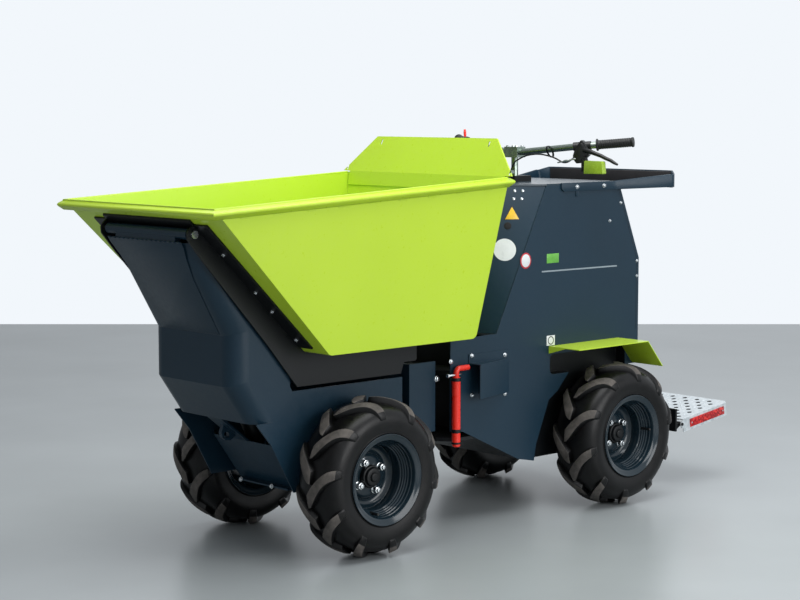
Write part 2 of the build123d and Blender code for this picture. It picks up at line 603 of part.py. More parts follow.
def wheelhouse():
    """Left inner wall beside the wheel, with the roof that joins it to the side panel."""
    wall, panel = WHEELHOUSE_HALF, BODY - SHEET_T
    shape = arch_sketch()
    grown = offset(shape, SHEET_T, kind=Kind.INTERSECTION)
    box = side_plate(grown, wall - SHEET_T, panel) - side_plate(shape, wall, panel + 5)
    keep = block((BODY_REAR_X + SHEET_T, 0), (0, 400), (BODY_LOW_Z + SHEET_T, 900))
    return (box & keep) - cross_rod(-WHEELBASE, AXLE_Z, 0, 400, AXLE_D) - belly()


def hood_front():
    """Front of the body above the skip's floor: a middle face and two corner faces."""
    def level(z, x_crease, x_face, inset):
        half = BODY - SHEET_T
        points = [(x_crease, -half), (x_face, -HOOD_HALF), (x_face, HOOD_HALF), (x_crease, half)]
        points += [(x_crease - 160, half), (x_crease - 160, -half)]
        face = make_face(Polyline(*points, close=True))
        if inset:
            face = offset(face, -inset, kind=Kind.INTERSECTION)
        return Pos(0, 0, z) * face

    rows = list(zip(CREASE_Z, CREASE_X, HOOD_X))
    outer, inner = Part(), Part()
    for a, b in ((0, 1), (1, 2)):
        outer += loft([level(*rows[a], 0), level(*rows[b], 0)], ruled=True)
        inner += loft([level(*rows[a], SHEET_T), level(*rows[b], SHEET_T)], ruled=True)
    back = [(x - 12, z) for x, z in zip(CREASE_X, CREASE_Z)]
    keep = slab(back + [(-500, BODY_TOP_Z), (-500, SHELF_Z)], -BODY, BODY)
    return (outer - inner) & keep


def rear_panel():
    """Back of the body, folded forward above the kink."""
    half = BODY - SHEET_T
    path = [(BODY_REAR_X, BODY_LOW_Z), (BODY_REAR_X, REAR_KINK_Z), (REAR_UPPER_X, REAR_UPPER_Z), (BODY_TOP_REAR_X, BODY_TOP_Z)]
    panel = slab(bent_sheet(path, -SHEET_T), -half, half)
    panel &= block((BODY_REAR_X - 1, 0), (-half, half), (BODY_LOW_Z, BODY_TOP_Z))
    trim = block((BODY_REAR_X - 5, BODY_REAR_X + 40), (WHEELHOUSE_HALF, half + 5), (BODY_LOW_Z - 5, WINDOW_Z[0]))
    return panel - trim - mirrored(trim)


def top_cover():
    """Lid plate of the rear body, with the hole of the steering column."""
    outline = [(HOOD_X[2], -HOOD_HALF), (HOOD_X[2], HOOD_HALF), (CREASE_X[2], BODY), (BODY_TOP_REAR_X, BODY)]
    outline += [(BODY_TOP_REAR_X, -BODY), (CREASE_X[2], -BODY)]
    plate = slab(outline, BODY_TOP_Z, BODY_TOP_Z + COVER_T, across="Z")
    return plate - rod((COLUMN_X, 0, BODY_TOP_Z - 1), (COLUMN_X, 0, BODY_TOP_Z + 20), COLUMN_D + 14)


def battery_pack():
    """Battery pack, standing on the belly ahead of the rear axle."""
    return block((-1110, -780), (-190, 190), (200, 560)) + block((-1090, -870), (-180, 180), (BODY_LOW_Z + SHEET_T, 200))


def fender():
    """Left fender: flat top, flap folded down behind and a small gusset in front."""
    path = [(FENDER_FRONT_X, FENDER_Z), (FENDER_BEND_X, FENDER_Z), (FENDER_TIP_X, FENDER_TIP_Z)]
    sheet = slab(bent_sheet(path, FENDER_T), BODY, BODY + FENDER_W)
    top = FENDER_Z - FENDER_T
    gusset = slab([(BODY, top), (BODY + 80, top), (BODY, top - 24)], FENDER_FRONT_X - FENDER_T, FENDER_FRONT_X, across="X")
    return sheet + gusset


def guard_rail():
    """Flat bar bent round the back of the hood, deeper across the rear."""
    side = BODY + RAIL_T
    plan = [(RAIL_FRONT_X, side), (RAIL_FLARE_X, side), (RAIL_CORNER_X, RAIL_HALF_W), (RAIL_REAR_X, RAIL_HALF_W - 50)]
    plan += [(x, -y) for x, y in plan[::-1]]
    section = bent_sheet(plan, RAIL_T)
    band = slab(section, RAIL_LOW_Z, RAIL_REAR_Z, across="Z")
    height = [(RAIL_FRONT_X - 12, RAIL_LOW_Z), (RAIL_FRONT_X, RAIL_LOW_Z + 10), (RAIL_FRONT_X, RAIL_ARM_Z), (RAIL_FLARE_X, RAIL_ARM_Z)]
    height += [(RAIL_CORNER_X, RAIL_REAR_Z), (RAIL_REAR_X - 5, RAIL_REAR_Z), (RAIL_REAR_X - 5, RAIL_LOW_Z)]
    return band & slab(height, -400, 400)


def side_scoop():
    """Hooded cover on the left side, open towards the front and below."""
    x0, x1, z0, z1, out, t = -711.0, -521.0, 434.0, 551.0, 56.0, 3.0
    outer = slab([(x1, BODY), (x1, BODY + out), (x0, BODY + 6), (x0, BODY)], z0, z1, across="Z")
    inner = slab([(x1 + 1, BODY - 1), (x1 + 1, BODY + out - t), (x0 + 8, BODY + 3.2), (x0 + 8, BODY - 1)], z0 - 1, z1 - t, across="Z")
    ears = block((x0, x1 + 2), (BODY, BODY + t), (z1, z1 + 30))
    return (outer - inner) + ears


def lock_bar():
    """Bar that locks the centre joint for transport, parked in its clips on the left."""
    x, d, neck = PIVOT_X + 23, 29.0, 19.0
    y = BODY + d / 2 + 1
    bar = rod((x, y, 276), (x, y, 512), d)
    bar = fillet(bar.edges().filter_by(GeomType.CIRCLE).sort_by(Axis.Z)[0], 6)
    knee = FilletPolyline((x, y, 510), (x, y, 541), (x - 56, y, 541), radius=16)
    bar += sweep(Plane(origin=knee @ 0, z_dir=knee % 0) * Circle(neck / 2), path=knee)
    for z in (322, 500):
        bar += block((x - 6, x + 6), (BODY, y - d / 2 + 3), (z - 6, z + 6))
    return bar


def step_mount():
    """Arms and cross plate on the back of the body, with the pins of the folding step."""
    beam = block((STEP_BEAM_X, STEP_BEAM_X + 8), (-320, 320), (205, 290))
    beam += both([(BODY_REAR_X, 186), (BODY_REAR_X, 276), (STEP_BEAM_X + 8, 284), (STEP_BEAM_X + 8, 210)], 146, 156)
    ear = [(STEP_BEAM_X, 206), (STEP_BEAM_X, 224), (STEP_PIVOT_X, STEP_PIVOT_Z + 9), (STEP_PIVOT_X, STEP_PIVOT_Z - 9)]
    half = STEP_W / 2
    for s in (-1, 1):
        y0, y1 = sorted((s * (half - 22), s * (half - 12)))
        beam += slab(ear, y0, y1)
        beam += cross_rod(STEP_PIVOT_X, STEP_PIVOT_Z, y0, y1, 18)
        beam += cross_rod(STEP_PIVOT_X, STEP_PIVOT_Z, *sorted((s * (half - 22), s * (half + 3))), STEP_PIN_D)
    return beam


def step_platform():
    """Folding step: a deck sheet with its edges turned down, and ears that turn on the pins."""
    half, t = STEP_W / 2, STEP_T
    deck = block((-STEP_L, 0), (-half, half), (-STEP_H, 0))
    deck -= block((-STEP_L + t, 1), (-half + t, half - t), (-STEP_H - 1, -t))
    ear = [(-40, -t), (-2, -t), (12, -12), (14, -20), (8, -32), (-40, -STEP_H)]
    deck += both(ear, half - t, half)
    turn = Rot(0, STEP_TILT, 0)
    start = (STEP_PIVOT_X - 4, STEP_PIVOT_Z + 19)
    placed = Pos(start[0], 0, start[1]) * (turn * deck)
    return placed - cross_rod(STEP_PIVOT_X, STEP_PIVOT_Z, -half - 5, half + 5, STEP_PIN_D + 2 * FIT)


# ---- Steering bar ----------------------------------------------------------------------------
BAR_HALF = [(COLUMN_X, 40, BAR_Z), (COLUMN_X - 45, 270, BAR_Z + 23), (COLUMN_X - 143, 434, BAR_Z + 39)]


def handlebar_stem():
    """Stem with the clamp that holds the bar."""
    stem = rod((COLUMN_X, 0, BODY_TOP_Z - 60), (COLUMN_X, 0, BAR_Z), COLUMN_D)
    clamp = block((COLUMN_X - 22, COLUMN_X + 22), (-32, 32), (BAR_Z - 20, BAR_Z + 18))
    clip = block((COLUMN_X + 11, COLUMN_X + 27), (-5, 9), (BAR_Z - 78, BAR_Z - 66))
    return stem + clamp + clip - cross_rod(COLUMN_X, BAR_Z, -40, 40, BAR_D)


def steering_bearing():
    """Flanged bearing of the stem on the lid."""
    base = BODY_TOP_Z + COVER_T
    body = block((COLUMN_X - 60, COLUMN_X + 26), (-26, 26), (base, base + 20))
    return body - rod((COLUMN_X, 0, base - 1), (COLUMN_X, 0, base + 21), COLUMN_D + 2 * FIT)


def handlebar():
    """One tube, swept back and up at both ends."""
    points = [(x, -y, z) for x, y, z in BAR_HALF[::-1]] + BAR_HALF
    path = FilletPolyline(*points, radius=60)
    start = Plane(origin=path @ 0, z_dir=path % 0)
    return sweep(start * Circle(BAR_D / 2), path=path)


def along_bar(distance):
    """A point on the outer run of the bar, measured back from its left end."""
    inner, end = BAR_HALF[1:]
    run = Vector(*end) - Vector(*inner)
    return tuple(Vector(*end) - run.normalized() * distance)


def grip():
    """Left rubber grip."""
    return rod(along_bar(GRIP_L), along_bar(-4), GRIP_D) - rod(along_bar(GRIP_L + 1), along_bar(0), BAR_D)


def lever_housing():
    """Left brake lever's housing, clamped on the bar inboard of the grip."""
    body = rod(along_bar(HOUSING_AT + 12), along_bar(HOUSING_AT - 26), GRIP_D + 5)
    x, y, z = along_bar(HOUSING_AT)
    body += block((x - 20, x + 20), (y - 22, y + 22), (z - 52, z - 8))
    return body - handlebar()


def control_cable():
    """Black cable from the clip on the stem, below the bar, into the left lever housing."""
    x, y, z = along_bar(HOUSING_AT)
    clip_x, clip_z = COLUMN_X + 20, BAR_Z - 66
    points = [(clip_x, 2, clip_z + 1.6), (clip_x + 4, 20, clip_z + 30), (clip_x - 4, 66, clip_z + 54)]
    points += [(clip_x - 14, 125, clip_z + 62), (clip_x - 28, y - 95, z - 40), (clip_x - 40, y - 52, z - 64)]
    points += [(x + 10.7, y - 24.4, z - 38.2)]
    runs = [Vector(*b) - Vector(*a) for a, b in zip(points, points[1:])]
    radii = []
    for a, b in zip(runs, runs[1:]):
        turn = radians(a.get_angle(b))
        radii.append(0.45 * min(a.length, b.length) / tan(turn / 2))
    path = FilletPolyline(*points, radius=radii)
    cable = sweep(Plane(origin=path @ 0, z_dir=path % 0) * Circle(CABLE_D / 2), path=path)
    wanted = path.length * 3.14159265 * CABLE_D ** 2 / 4
    print("control cable: length", round(path.length, 1), "mm, bend radii", [round(r) for r in radii],
          "volume over section x length", round(cable.volume / wanted, 4))
    return cable


def wheel_at(name, shape):
    """Puts a wheel piece at its corner, turned round on the right side."""
    x = 0 if name[0] == "f" else -WHEELBASE
    if name[1] == "l":
        return Pos(x, TRACK / 2, AXLE_Z) * shape
    return Pos(x, -TRACK / 2, AXLE_Z) * (Rot(0, 0, 180) * shape)


PARTS = {
    "front_axle": axle_beam(0),
    "rear_axle": axle_beam(-WHEELBASE),
    "front_chassis": front_chassis(),
    "front_lower_panel": lower_panel(),
    "tow_eye": tow_eye(),
    "hinge_tube": hinge_tube(),
    "hinge_post": hinge_post(),
    "skip_tub": skip_tub(),
    "skip_rim": skip_rim(),
    "spill_guard": spill_guard(),
    "skip_carrier": skip_carrier(),
    "tip_pins": tip_pins(),
    "ram_barrel": ram_barrel(),
    "ram_rod": ram_rod(),
    "rear_frame": rear_frame(),
    "pivot_pin": pivot_pin(),
    "body_side_left": body_side(),
    "body_side_right": mirrored(body_side()),
    "wheelhouse_left": wheelhouse(),
    "wheelhouse_right": mirrored(wheelhouse()),
    "hood_front": hood_front(),
    "rear_panel": rear_panel(),
    "top_cover": top_cover(),
    "battery_pack": battery_pack(),
    "fender_left": fender(),
    "fender_right": mirrored(fender()),
    "guard_rail": guard_rail(),
    "side_scoop": side_scoop(),
    "lock_bar": lock_bar(),
    "step_mount": step_mount(),
    "step_platform": step_platform(),
    "handlebar_stem": handlebar_stem(),
    "steering_bearing": steering_bearing(),
    "handlebar": handlebar(),
    "grips": grip() + mirrored(grip()),
    "lever_housings": lever_housing() + mirrored(lever_housing()),
    "control_cable": control_cable(),
}
for spot in ("fl", "fr", "rl", "rr"):
    PARTS["rim_" + spot] = wheel_at(spot, rim())
    PARTS["tyre_" + spot] = wheel_at(spot, tyre())

boxes = [shape.bounding_box() for shape in PARTS.values()]
middle = (min(b.min.X for b in boxes) + max(b.max.X for b in boxes)) / 2
ground = min(b.min.Z for b in boxes)

os.makedirs("parts", exist_ok=True)
for name, shape in PARTS.items():
    export_step(Pos(-middle, 0, -ground) * shape, "parts/" + name + ".step")
print("front axle is at x =", round(-middle, 3), "and the floor moved by", round(-ground, 3))
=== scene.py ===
# %% [markdown]
# # A small articulated site dumper
# The machine has two halves. The front half carries a lime skip that tips over a hinge at its lip,
# and the rear half holds the batteries and the driver's step. The solid parts come from the CAD
# frame. This notebook gives them their paint and adds what sheet metal alone doesn't show:
# tyre lugs, bolts, welds, grips, plates and the pierced deck.

# %% Open the frame
from math import cos, hypot, pi, radians, sin

import bmesh
import bpy
from mathutils import Matrix, Vector


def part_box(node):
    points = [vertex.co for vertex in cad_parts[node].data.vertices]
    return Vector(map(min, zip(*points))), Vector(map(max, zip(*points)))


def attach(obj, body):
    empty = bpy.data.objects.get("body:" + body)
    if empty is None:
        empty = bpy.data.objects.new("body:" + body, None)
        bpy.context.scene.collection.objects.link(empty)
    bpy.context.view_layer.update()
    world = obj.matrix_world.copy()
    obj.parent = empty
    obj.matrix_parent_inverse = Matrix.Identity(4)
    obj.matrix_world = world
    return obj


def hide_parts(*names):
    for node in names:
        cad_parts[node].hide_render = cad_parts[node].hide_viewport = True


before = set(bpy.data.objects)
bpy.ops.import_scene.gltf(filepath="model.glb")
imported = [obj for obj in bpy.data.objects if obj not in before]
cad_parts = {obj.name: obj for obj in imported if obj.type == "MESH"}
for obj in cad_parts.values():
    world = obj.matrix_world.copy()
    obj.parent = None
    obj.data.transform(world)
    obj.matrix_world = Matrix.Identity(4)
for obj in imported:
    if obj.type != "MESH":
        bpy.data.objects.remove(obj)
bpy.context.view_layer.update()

low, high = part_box("front_axle")
AXLE_X = (low.x + high.x) / 2
AXLE_Z = 245.0          # height of the wheel axles on the drawing
LIFT = (low.z + high.z) / 2 - AXLE_Z / 1000
WHEELBASE = 1183.0
TRACK_HALF = 324.0
SIDE_FACE = 250.0       # from the middle to the outside of the side sheets
FLOOR_GAP = 0.0004      # from the floor up to the tyres, in metres
print("front axle at x =", round(AXLE_X, 4), "m, lift", round(LIFT, 4), "m")


def at(x, y, z):
    """A point in millimetres: x from the front axle, z so that the axles lie at 245."""
    return Vector((AXLE_X + x / 1000, y / 1000, LIFT + z / 1000))

# %% [markdown]
# ## Small tools
# Operators act on what is selected, so each piece starts from an empty selection. A finished piece
# keeps its place in its mesh, with its object at the origin, as the frame expects. The tools after
# these make the shapes that most pieces start from.

# %% Selection and finishing
def only(*objects):
    """Selects these objects and makes the first one active."""
    bpy.ops.object.select_all(action="DESELECT")
    for o in objects:
        o.select_set(True)
    bpy.context.view_layer.objects.active = objects[0]


def edit(o, step):
    """Runs a step in edit mode with everything selected."""
    only(o)
    bpy.ops.object.mode_set(mode="EDIT")
    bpy.ops.mesh.select_all(action="SELECT")
    step()
    bpy.ops.object.mode_set(mode="OBJECT")


def settle(o, name, finish, body, smooth=35):
    """Bakes the place into the mesh, names the piece, gives it its finish and its body."""
    only(o)
    bpy.ops.object.transform_apply()
    o.name = name
    o.data.name = name
    if finish:
        o.data.materials.clear()
        o.data.materials.append(finish)
    if smooth:
        bpy.ops.object.shade_smooth_by_angle(angle=radians(smooth))
    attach(o, body)
    return o


def modify(o, kind, **settings):
    """Adds a modifier with its settings and applies it."""
    only(o)
    m = o.modifiers.new(kind.title(), kind)
    for key, value in settings.items():
        setattr(m, key, value)
    bpy.ops.object.modifier_apply(modifier=m.name)
    return o


def join(objects):
    """Joins objects into the first one."""
    only(*objects)
    bpy.ops.object.join()
    return objects[0]


def placed(name, data):
    """A new object in the scene."""
    o = bpy.data.objects.new(name, data)
    bpy.context.scene.collection.objects.link(o)
    return o


def copy_to(o, matrix):
    """A copy of a piece with its own mesh, moved by a matrix."""
    twin = placed(o.name, o.data.copy())
    twin.data.transform(matrix)
    return twin


# %% First shapes
def drawn(name, points, faces=(), edges=()):
    """A mesh from a short table of points, in metres."""
    mesh = bpy.data.meshes.new(name)
    mesh.from_pydata([tuple(p) for p in points], list(edges), list(faces))
    mesh.validate()
    return placed(name, mesh)


def grid(columns, rows):
    """A flat grid from -1 to 1, with nothing else selected."""
    bpy.ops.object.select_all(action="DESELECT")
    bpy.ops.mesh.primitive_grid_add(
        x_subdivisions=columns, y_subdivisions=rows, size=2, location=(0, 0, 0))
    return bpy.context.object


def cylinder(sides, radius, length, middle=0.0):
    """A cylinder along Z with its middle at a height, with nothing else selected."""
    bpy.ops.object.select_all(action="DESELECT")
    bpy.ops.mesh.primitive_cylinder_add(
        vertices=sides, radius=radius, depth=length, location=(0, 0, middle))
    return bpy.context.object


def extruded(o, distance):
    """Pulls a flat shape out along Z to a closed block."""
    def step():
        bpy.ops.mesh.extrude_region_move(TRANSFORM_OT_translate={"value": (0, 0, distance)})
        bpy.ops.mesh.select_all(action="SELECT")
        bpy.ops.mesh.normals_make_consistent(inside=False)
    edit(o, step)
    return o


def rounded(o, width, sharper_than=50, segments=2):
    """Bevels every edge that is sharper than an angle in degrees; the width is in metres."""
    return modify(o, "BEVEL", width=width, segments=segments, limit_method="ANGLE",
                  angle_limit=radians(sharper_than))


def tidy_shell(o):
    """Merges doubles and turns the faces outwards."""
    def step():
        bpy.ops.mesh.remove_doubles(threshold=1e-5)
        bpy.ops.mesh.normals_make_consistent(inside=False)
    edit(o, step)
    return o


def spun(name, profile, steps=64):
    """Spins a closed profile of (across, radius) in millimetres about the Y axis."""
    points = [(0, a / 1000, r / 1000) for a, r in profile]
    n = len(points)
    o = drawn(name, points, edges=[(i, (i + 1) % n) for i in range(n)])
    edit(o, lambda: bpy.ops.mesh.spin(
        steps=steps, angle=2 * pi, center=(0, 0, 0), axis=(0, 1, 0)))
    return tidy_shell(o)


def frame_at(place, out, up=(0, 0, 1)):
    """A matrix whose Z axis points out of a surface at a place, with Y towards up."""
    z = Vector(out).normalized()
    y = Vector(up) - z * z.dot(Vector(up))
    y.normalize()
    x = y.cross(z)
    m = Matrix((x, y, z)).transposed().to_4x4()
    m.translation = place
    return m


def triangles(o):
    """How many triangles a piece has."""
    return sum(len(p.vertices) - 2 for p in o.data.polygons)


# %% [markdown]
# ## Colour and nodes
# Colours are sRGB hex, as on a paint chart, and one function turns them to the linear values that
# the shader wants. Another adds a node with its settings and links. The last one links a finish's
# colour, roughness and normal to its shader.

# %% Colour and node tools
def ink(code):
    """sRGB hex to linear RGBA."""
    parts = [int(code[i:i + 2], 16) / 255 for i in (0, 2, 4)]
    return tuple(c / 12.92 if c <= 0.04045 else ((c + 0.055) / 1.055) ** 2.4
                 for c in parts) + (1.0,)


def add(tree, kind, settings=None, **links):
    """Adds a node with its settings. Links go to sockets by name, or by number as i0, i1."""
    n = tree.nodes.new(kind)
    for key, value in (settings or {}).items():
        if hasattr(n, key):
            setattr(n, key, value)
        else:
            n.inputs[key].default_value = value
    for key, value in links.items():
        numbered = key[0] == "i" and key[1:].isdigit()
        socket = n.inputs[int(key[1:]) if numbered else key]
        if isinstance(value, bpy.types.NodeSocket):
            tree.links.new(value, socket)
        else:
            socket.default_value = value
    return n


def blank(name):
    """A new material: its tree, its shader and its object coordinates."""
    m = bpy.data.materials.new(name)
    m.use_nodes = True
    tree = m.node_tree
    shader = tree.nodes["Principled BSDF"]
    where = add(tree, "ShaderNodeTexCoord").outputs["Object"]
    return m, tree, shader, where


def noise(tree, where, grain_mm, detail=3.0, rough=0.55):
    """Noise with lumps about as big as the grain."""
    lumps = {"Scale": 1000 / grain_mm, "Detail": detail, "Roughness": rough}
    return add(tree, "ShaderNodeTexNoise", lumps, Vector=where).outputs["Fac"]


def ramp(tree, value, stops):
    """A colour ramp through stops of (place, hex)."""
    n = add(tree, "ShaderNodeValToRGB", Fac=value)
    cr = n.color_ramp
    while len(cr.elements) < len(stops):
        cr.elements.new(0.5)
    for e, (place, code) in zip(cr.elements, stops):
        e.position = place
        e.color = ink(code)
    return n.outputs["Color"]


def span(tree, value, low_in, high_in, low_out, high_out):
    """Maps a range of a value to another, and holds it there."""
    ends = {"From Min": low_in, "From Max": high_in, "To Min": low_out, "To Max": high_out}
    return add(tree, "ShaderNodeMapRange", {"clamp": True, **ends}, Value=value).outputs["Result"]


def maths(tree, operation, a, b):
    """One operation on two values."""
    return add(tree, "ShaderNodeMath", {"operation": operation}, i0=a, i1=b).outputs[0]


def mix(tree, share, a, b):
    """Mixes two colours by a share."""
    return add(tree, "ShaderNodeMix", {"data_type": "RGBA"}, i0=share, i6=a, i7=b).outputs[2]


def bump(tree, height, strength, depth_mm, edge=None):
    """Bump from a height, as deep as stated, on top of a soft edge if there is one."""
    n = add(tree, "ShaderNodeBump", {"Strength": strength, "Distance": depth_mm / 1000},
            Height=height)
    if edge is not None:
        tree.links.new(edge, n.inputs["Normal"])
    return n.outputs["Normal"]


def soft_edge(tree, radius_mm):
    """Rounds the light over sharp edges."""
    return add(tree, "ShaderNodeBevel",
               {"samples": 4, "Radius": radius_mm / 1000}).outputs["Normal"]


def dress(tree, shader, colour, roughness, normal):
    """Links a finish to its shader."""
    for key, socket in (("Base Color", colour), ("Roughness", roughness), ("Normal", normal)):
        tree.links.new(socket, shader.inputs[key])


# %% [markdown]
# ## Powder coat
# Most of the machine is folded steel with a baked powder coat. Powder flows into a skin with soft
# orange peel and slightly rounded edges, and it keeps an even satin gloss. A Bevel node rounds the
# light over each edge by a millimetre or two, fine noise makes the peel, and very large, faint
# noise keeps a wide panel from looking printed. Dust settles on what faces up.

# %% Powder coat
def powder_coat(name, code, dark, dusty, gloss, dust=0.10, edge_mm=1.6, peel=0.10, level=0.5):
    """Baked powder: code and dark are its hues, dusty the settled dust, gloss its roughness."""
    m, tree, shader, where = blank(name)
    shader.inputs["Specular IOR Level"].default_value = level
    broad = noise(tree, where, 420, 2.0)
    fine = noise(tree, where, 5.0, 2.0)
    specks = noise(tree, where, 14, 5.0, 0.7)
    normal = add(tree, "ShaderNodeNewGeometry").outputs["Normal"]
    up = add(tree, "ShaderNodeSeparateXYZ", Vector=normal).outputs["Z"]
    share = maths(tree, "MULTIPLY", span(tree, up, 0.2, 1.0, 0.25, 1.0),
                  span(tree, specks, 0.45, 0.75, 0.0, dust))
    dress(tree, shader,
          mix(tree, share, ramp(tree, broad, [(0.25, dark), (0.75, code)]), ink(dusty)),
          span(tree, specks, 0.3, 0.8, gloss - 0.04, gloss + 0.08),
          bump(tree, fine, peel, 0.25, soft_edge(tree, edge_mm)))
    return m


lime = powder_coat("lime_powder_coat", "BEDD37", "B8D731", "CDD3B8", 0.30)
slate = powder_coat("slate_powder_coat", "193141", "162C3A", "68737B", 0.34, 0.07, level=0.30)
# The lid's slate is lighter than the body's as a painted highlight, for the lid's shine under the
# light from above; it is also glossier.
lid_slate_highlit = powder_coat("lid_highlight_slate_coat", "243642", "20313C", "8A9298", 0.18, 0.06)
slate_rim = powder_coat("slate_wheel_enamel", "1A2932", "16242C", "4A5256", 0.12, 0.06,
                        peel=0.04, level=0.42)
black = powder_coat("black_frame_coat", "0D1013", "0A0D0F", "3E4244", 0.42, 0.10, level=0.30)
red = powder_coat("red_lock_coat", "F0301F", "E42A1A", "D89A90", 0.28)
print("powder coats:", lime.name, slate.name, lid_slate_highlit.name, slate_rim.name, black.name, red.name)

# %% [markdown]
# ## Tyre rubber
# Tyre rubber is carbon black in a skin that is smooth on the sidewall. It shines faintly where it
# curves. On the tops of the lugs it is worn matt and holds the pale dust of the yard, so the lug
# tops have their own finish.

# %% Tyre rubber
def tyre_rubber(name, dark, mid, pale, gloss, grit_mm, depth, sheen_level):
    """Mottled rubber in three tones, with grit of a size and depth in mm."""
    m, tree, shader, where = blank(name)
    shader.inputs["IOR"].default_value = 1.52
    shader.inputs["Specular IOR Level"].default_value = sheen_level
    mottle = noise(tree, where, 35, 6.0, 0.65)
    grit = noise(tree, where, grit_mm, 3.0)
    dress(tree, shader,
          ramp(tree, mottle, [(0.30, dark), (0.55, mid), (0.78, pale)]),
          span(tree, mottle, 0.3, 0.8, gloss, gloss + 0.16),
          bump(tree, grit, 0.35, depth))
    return m


rubber = tyre_rubber("tyre_sidewall_rubber", "060607", "0A0A0B", "111112", 0.30, 4.0, 0.2, 0.24)
worn_rubber = tyre_rubber("worn_lug_rubber", "35322F", "544F4B", "6E6863", 0.72, 2.5, 0.6, 0.5)
print("rubber:", rubber.name, worn_rubber.name)

# %% [markdown]
# ## Plated and bare metal
# The bar, bolts and deck are zinc coated. Bright zinc plate on the bolts is smooth and slightly
# blue. Hot-dip galvanised sheet shows spangle, flat crystals a few millimetres wide, each with its
# own brightness, so a Voronoi pattern sets both colour and roughness.

# %% Metals
def metal(name, code, shade, gloss, grain_mm=20):
    """Plain or plated metal whose plating is slightly cloudy."""
    m, tree, shader, where = blank(name)
    shader.inputs["Metallic"].default_value = 1.0
    cloud = noise(tree, where, grain_mm, 4.0)
    dress(tree, shader,
          ramp(tree, cloud, [(0.3, shade), (0.7, code)]),
          span(tree, cloud, 0.3, 0.7, gloss + 0.10, gloss - 0.03),
          bump(tree, noise(tree, where, 1.5, 2.0), 0.08, 0.1, soft_edge(tree, 0.6)))
    return m


def galvanised():
    """Hot-dip zinc with its spangle, crystals of about 9 mm."""
    m, tree, shader, where = blank("galvanised_sheet")
    shader.inputs["Metallic"].default_value = 0.55
    crystals = add(tree, "ShaderNodeTexVoronoi", {"Scale": 1000 / 9.0}, Vector=where)
    tone = add(tree, "ShaderNodeSeparateColor", Color=crystals.outputs["Color"]).outputs[0]
    dress(tree, shader,
          ramp(tree, tone, [(0.0, "C6CED2"), (1.0, "E4EAED")]),
          span(tree, tone, 0.0, 1.0, 0.32, 0.46),
          bump(tree, noise(tree, where, 6, 2.0), 0.1, 0.3))
    return m


zinc = metal("passivated_zinc_tube", "A9B5AC", "87948A", 0.24)
bolt_zinc = metal("zinc_bolt", "E2E6E8", "BFC4C7", 0.20, 6)
# The dark steel is painted shade: it colours the collars inside the deck's holes.
hole_shade_steel = metal("painted_hole_shade_steel", "4A4D50", "34373A", 0.36, 12)
chrome = metal("hard_chrome", "D9DBDD", "CFD2D5", 0.10, 60)
spangle = galvanised()
print("metals:", zinc.name, bolt_zinc.name, hole_shade_steel.name, chrome.name, spangle.name)

# %% [markdown]
# ## Plastic, rubber mouldings and films
# Grips and housings are black mouldings with a fine matt texture. The small plates on the body are
# printed films, flat and a little glossy. Nothing is printed on them here but plain shapes.

# %% Plastics and films
def moulded(name, code, shade, gloss, grain_mm=1.2, depth=0.25):
    """A moulding or a film, with a fine grain."""
    m, tree, shader, where = blank(name)
    cloud = noise(tree, where, 30, 3.0)
    dress(tree, shader,
          ramp(tree, cloud, [(0.35, shade), (0.7, code)]),
          span(tree, cloud, 0.3, 0.7, gloss - 0.05, gloss + 0.07),
          bump(tree, noise(tree, where, grain_mm, 2.0), depth, 0.15))
    return m


plastic = moulded("black_moulded_plastic", "101214", "0B0C0E", 0.36)
grip_rubber = moulded("grip_rubber", "131517", "0D0F10", 0.50, 1.6, 0.4)
foam_rubber = moulded("black_foam_rubber", "232225", "1A191C", 0.72, 2.0, 0.5)
lime_plastic = moulded("lime_moulded_plastic", "9DBE3A", "93B334", 0.26, 3.0, 0.1)
film_white, film_yellow, film_dark, film_red, film_green, film_grey = (
    moulded(name + "_film", code, shade, gloss, 8, 0.03) for name, code, shade, gloss in (
        ("white", "E4E7E8", "DADDDF", 0.30), ("yellow", "EFC02C", "E4B524", 0.30),
        ("dark", "1B2024", "15191C", 0.34), ("red", "C4303A", "B72A33", 0.30),
        ("green", "6DB54A", "62A842", 0.30), ("grey", "8F9BA2", "86929A", 0.34)))
hollow_black = moulded("black_rubber_plug", "050606", "040404", 0.8)


def reflector_red():
    """Moulded retroreflector: a grid of small prisms behind a red face."""
    m, tree, shader, where = blank("red_reflector")
    cells = add(tree, "ShaderNodeTexVoronoi", {"Scale": 1000 / 7.0}, Vector=where)
    tone = add(tree, "ShaderNodeSeparateColor", Color=cells.outputs["Color"]).outputs[0]
    dress(tree, shader,
          ramp(tree, tone, [(0.1, "8C080E"), (0.6, "BC1018"), (1.0, "E8352C")]),
          span(tree, tone, 0, 1, 0.18, 0.34),
          bump(tree, cells.outputs["Distance"], 0.3, 0.8))
    return m


reflector = reflector_red()
print("mouldings and films:", plastic.name, grip_rubber.name, lime_plastic.name, reflector.name)

# %% [markdown]
# ## Finishes for the solid parts
# Each solid from the frame takes the finish of the real part, except the rear frame: its black coat
# is painted shade, for the shadowed bulkhead above the hinge post.

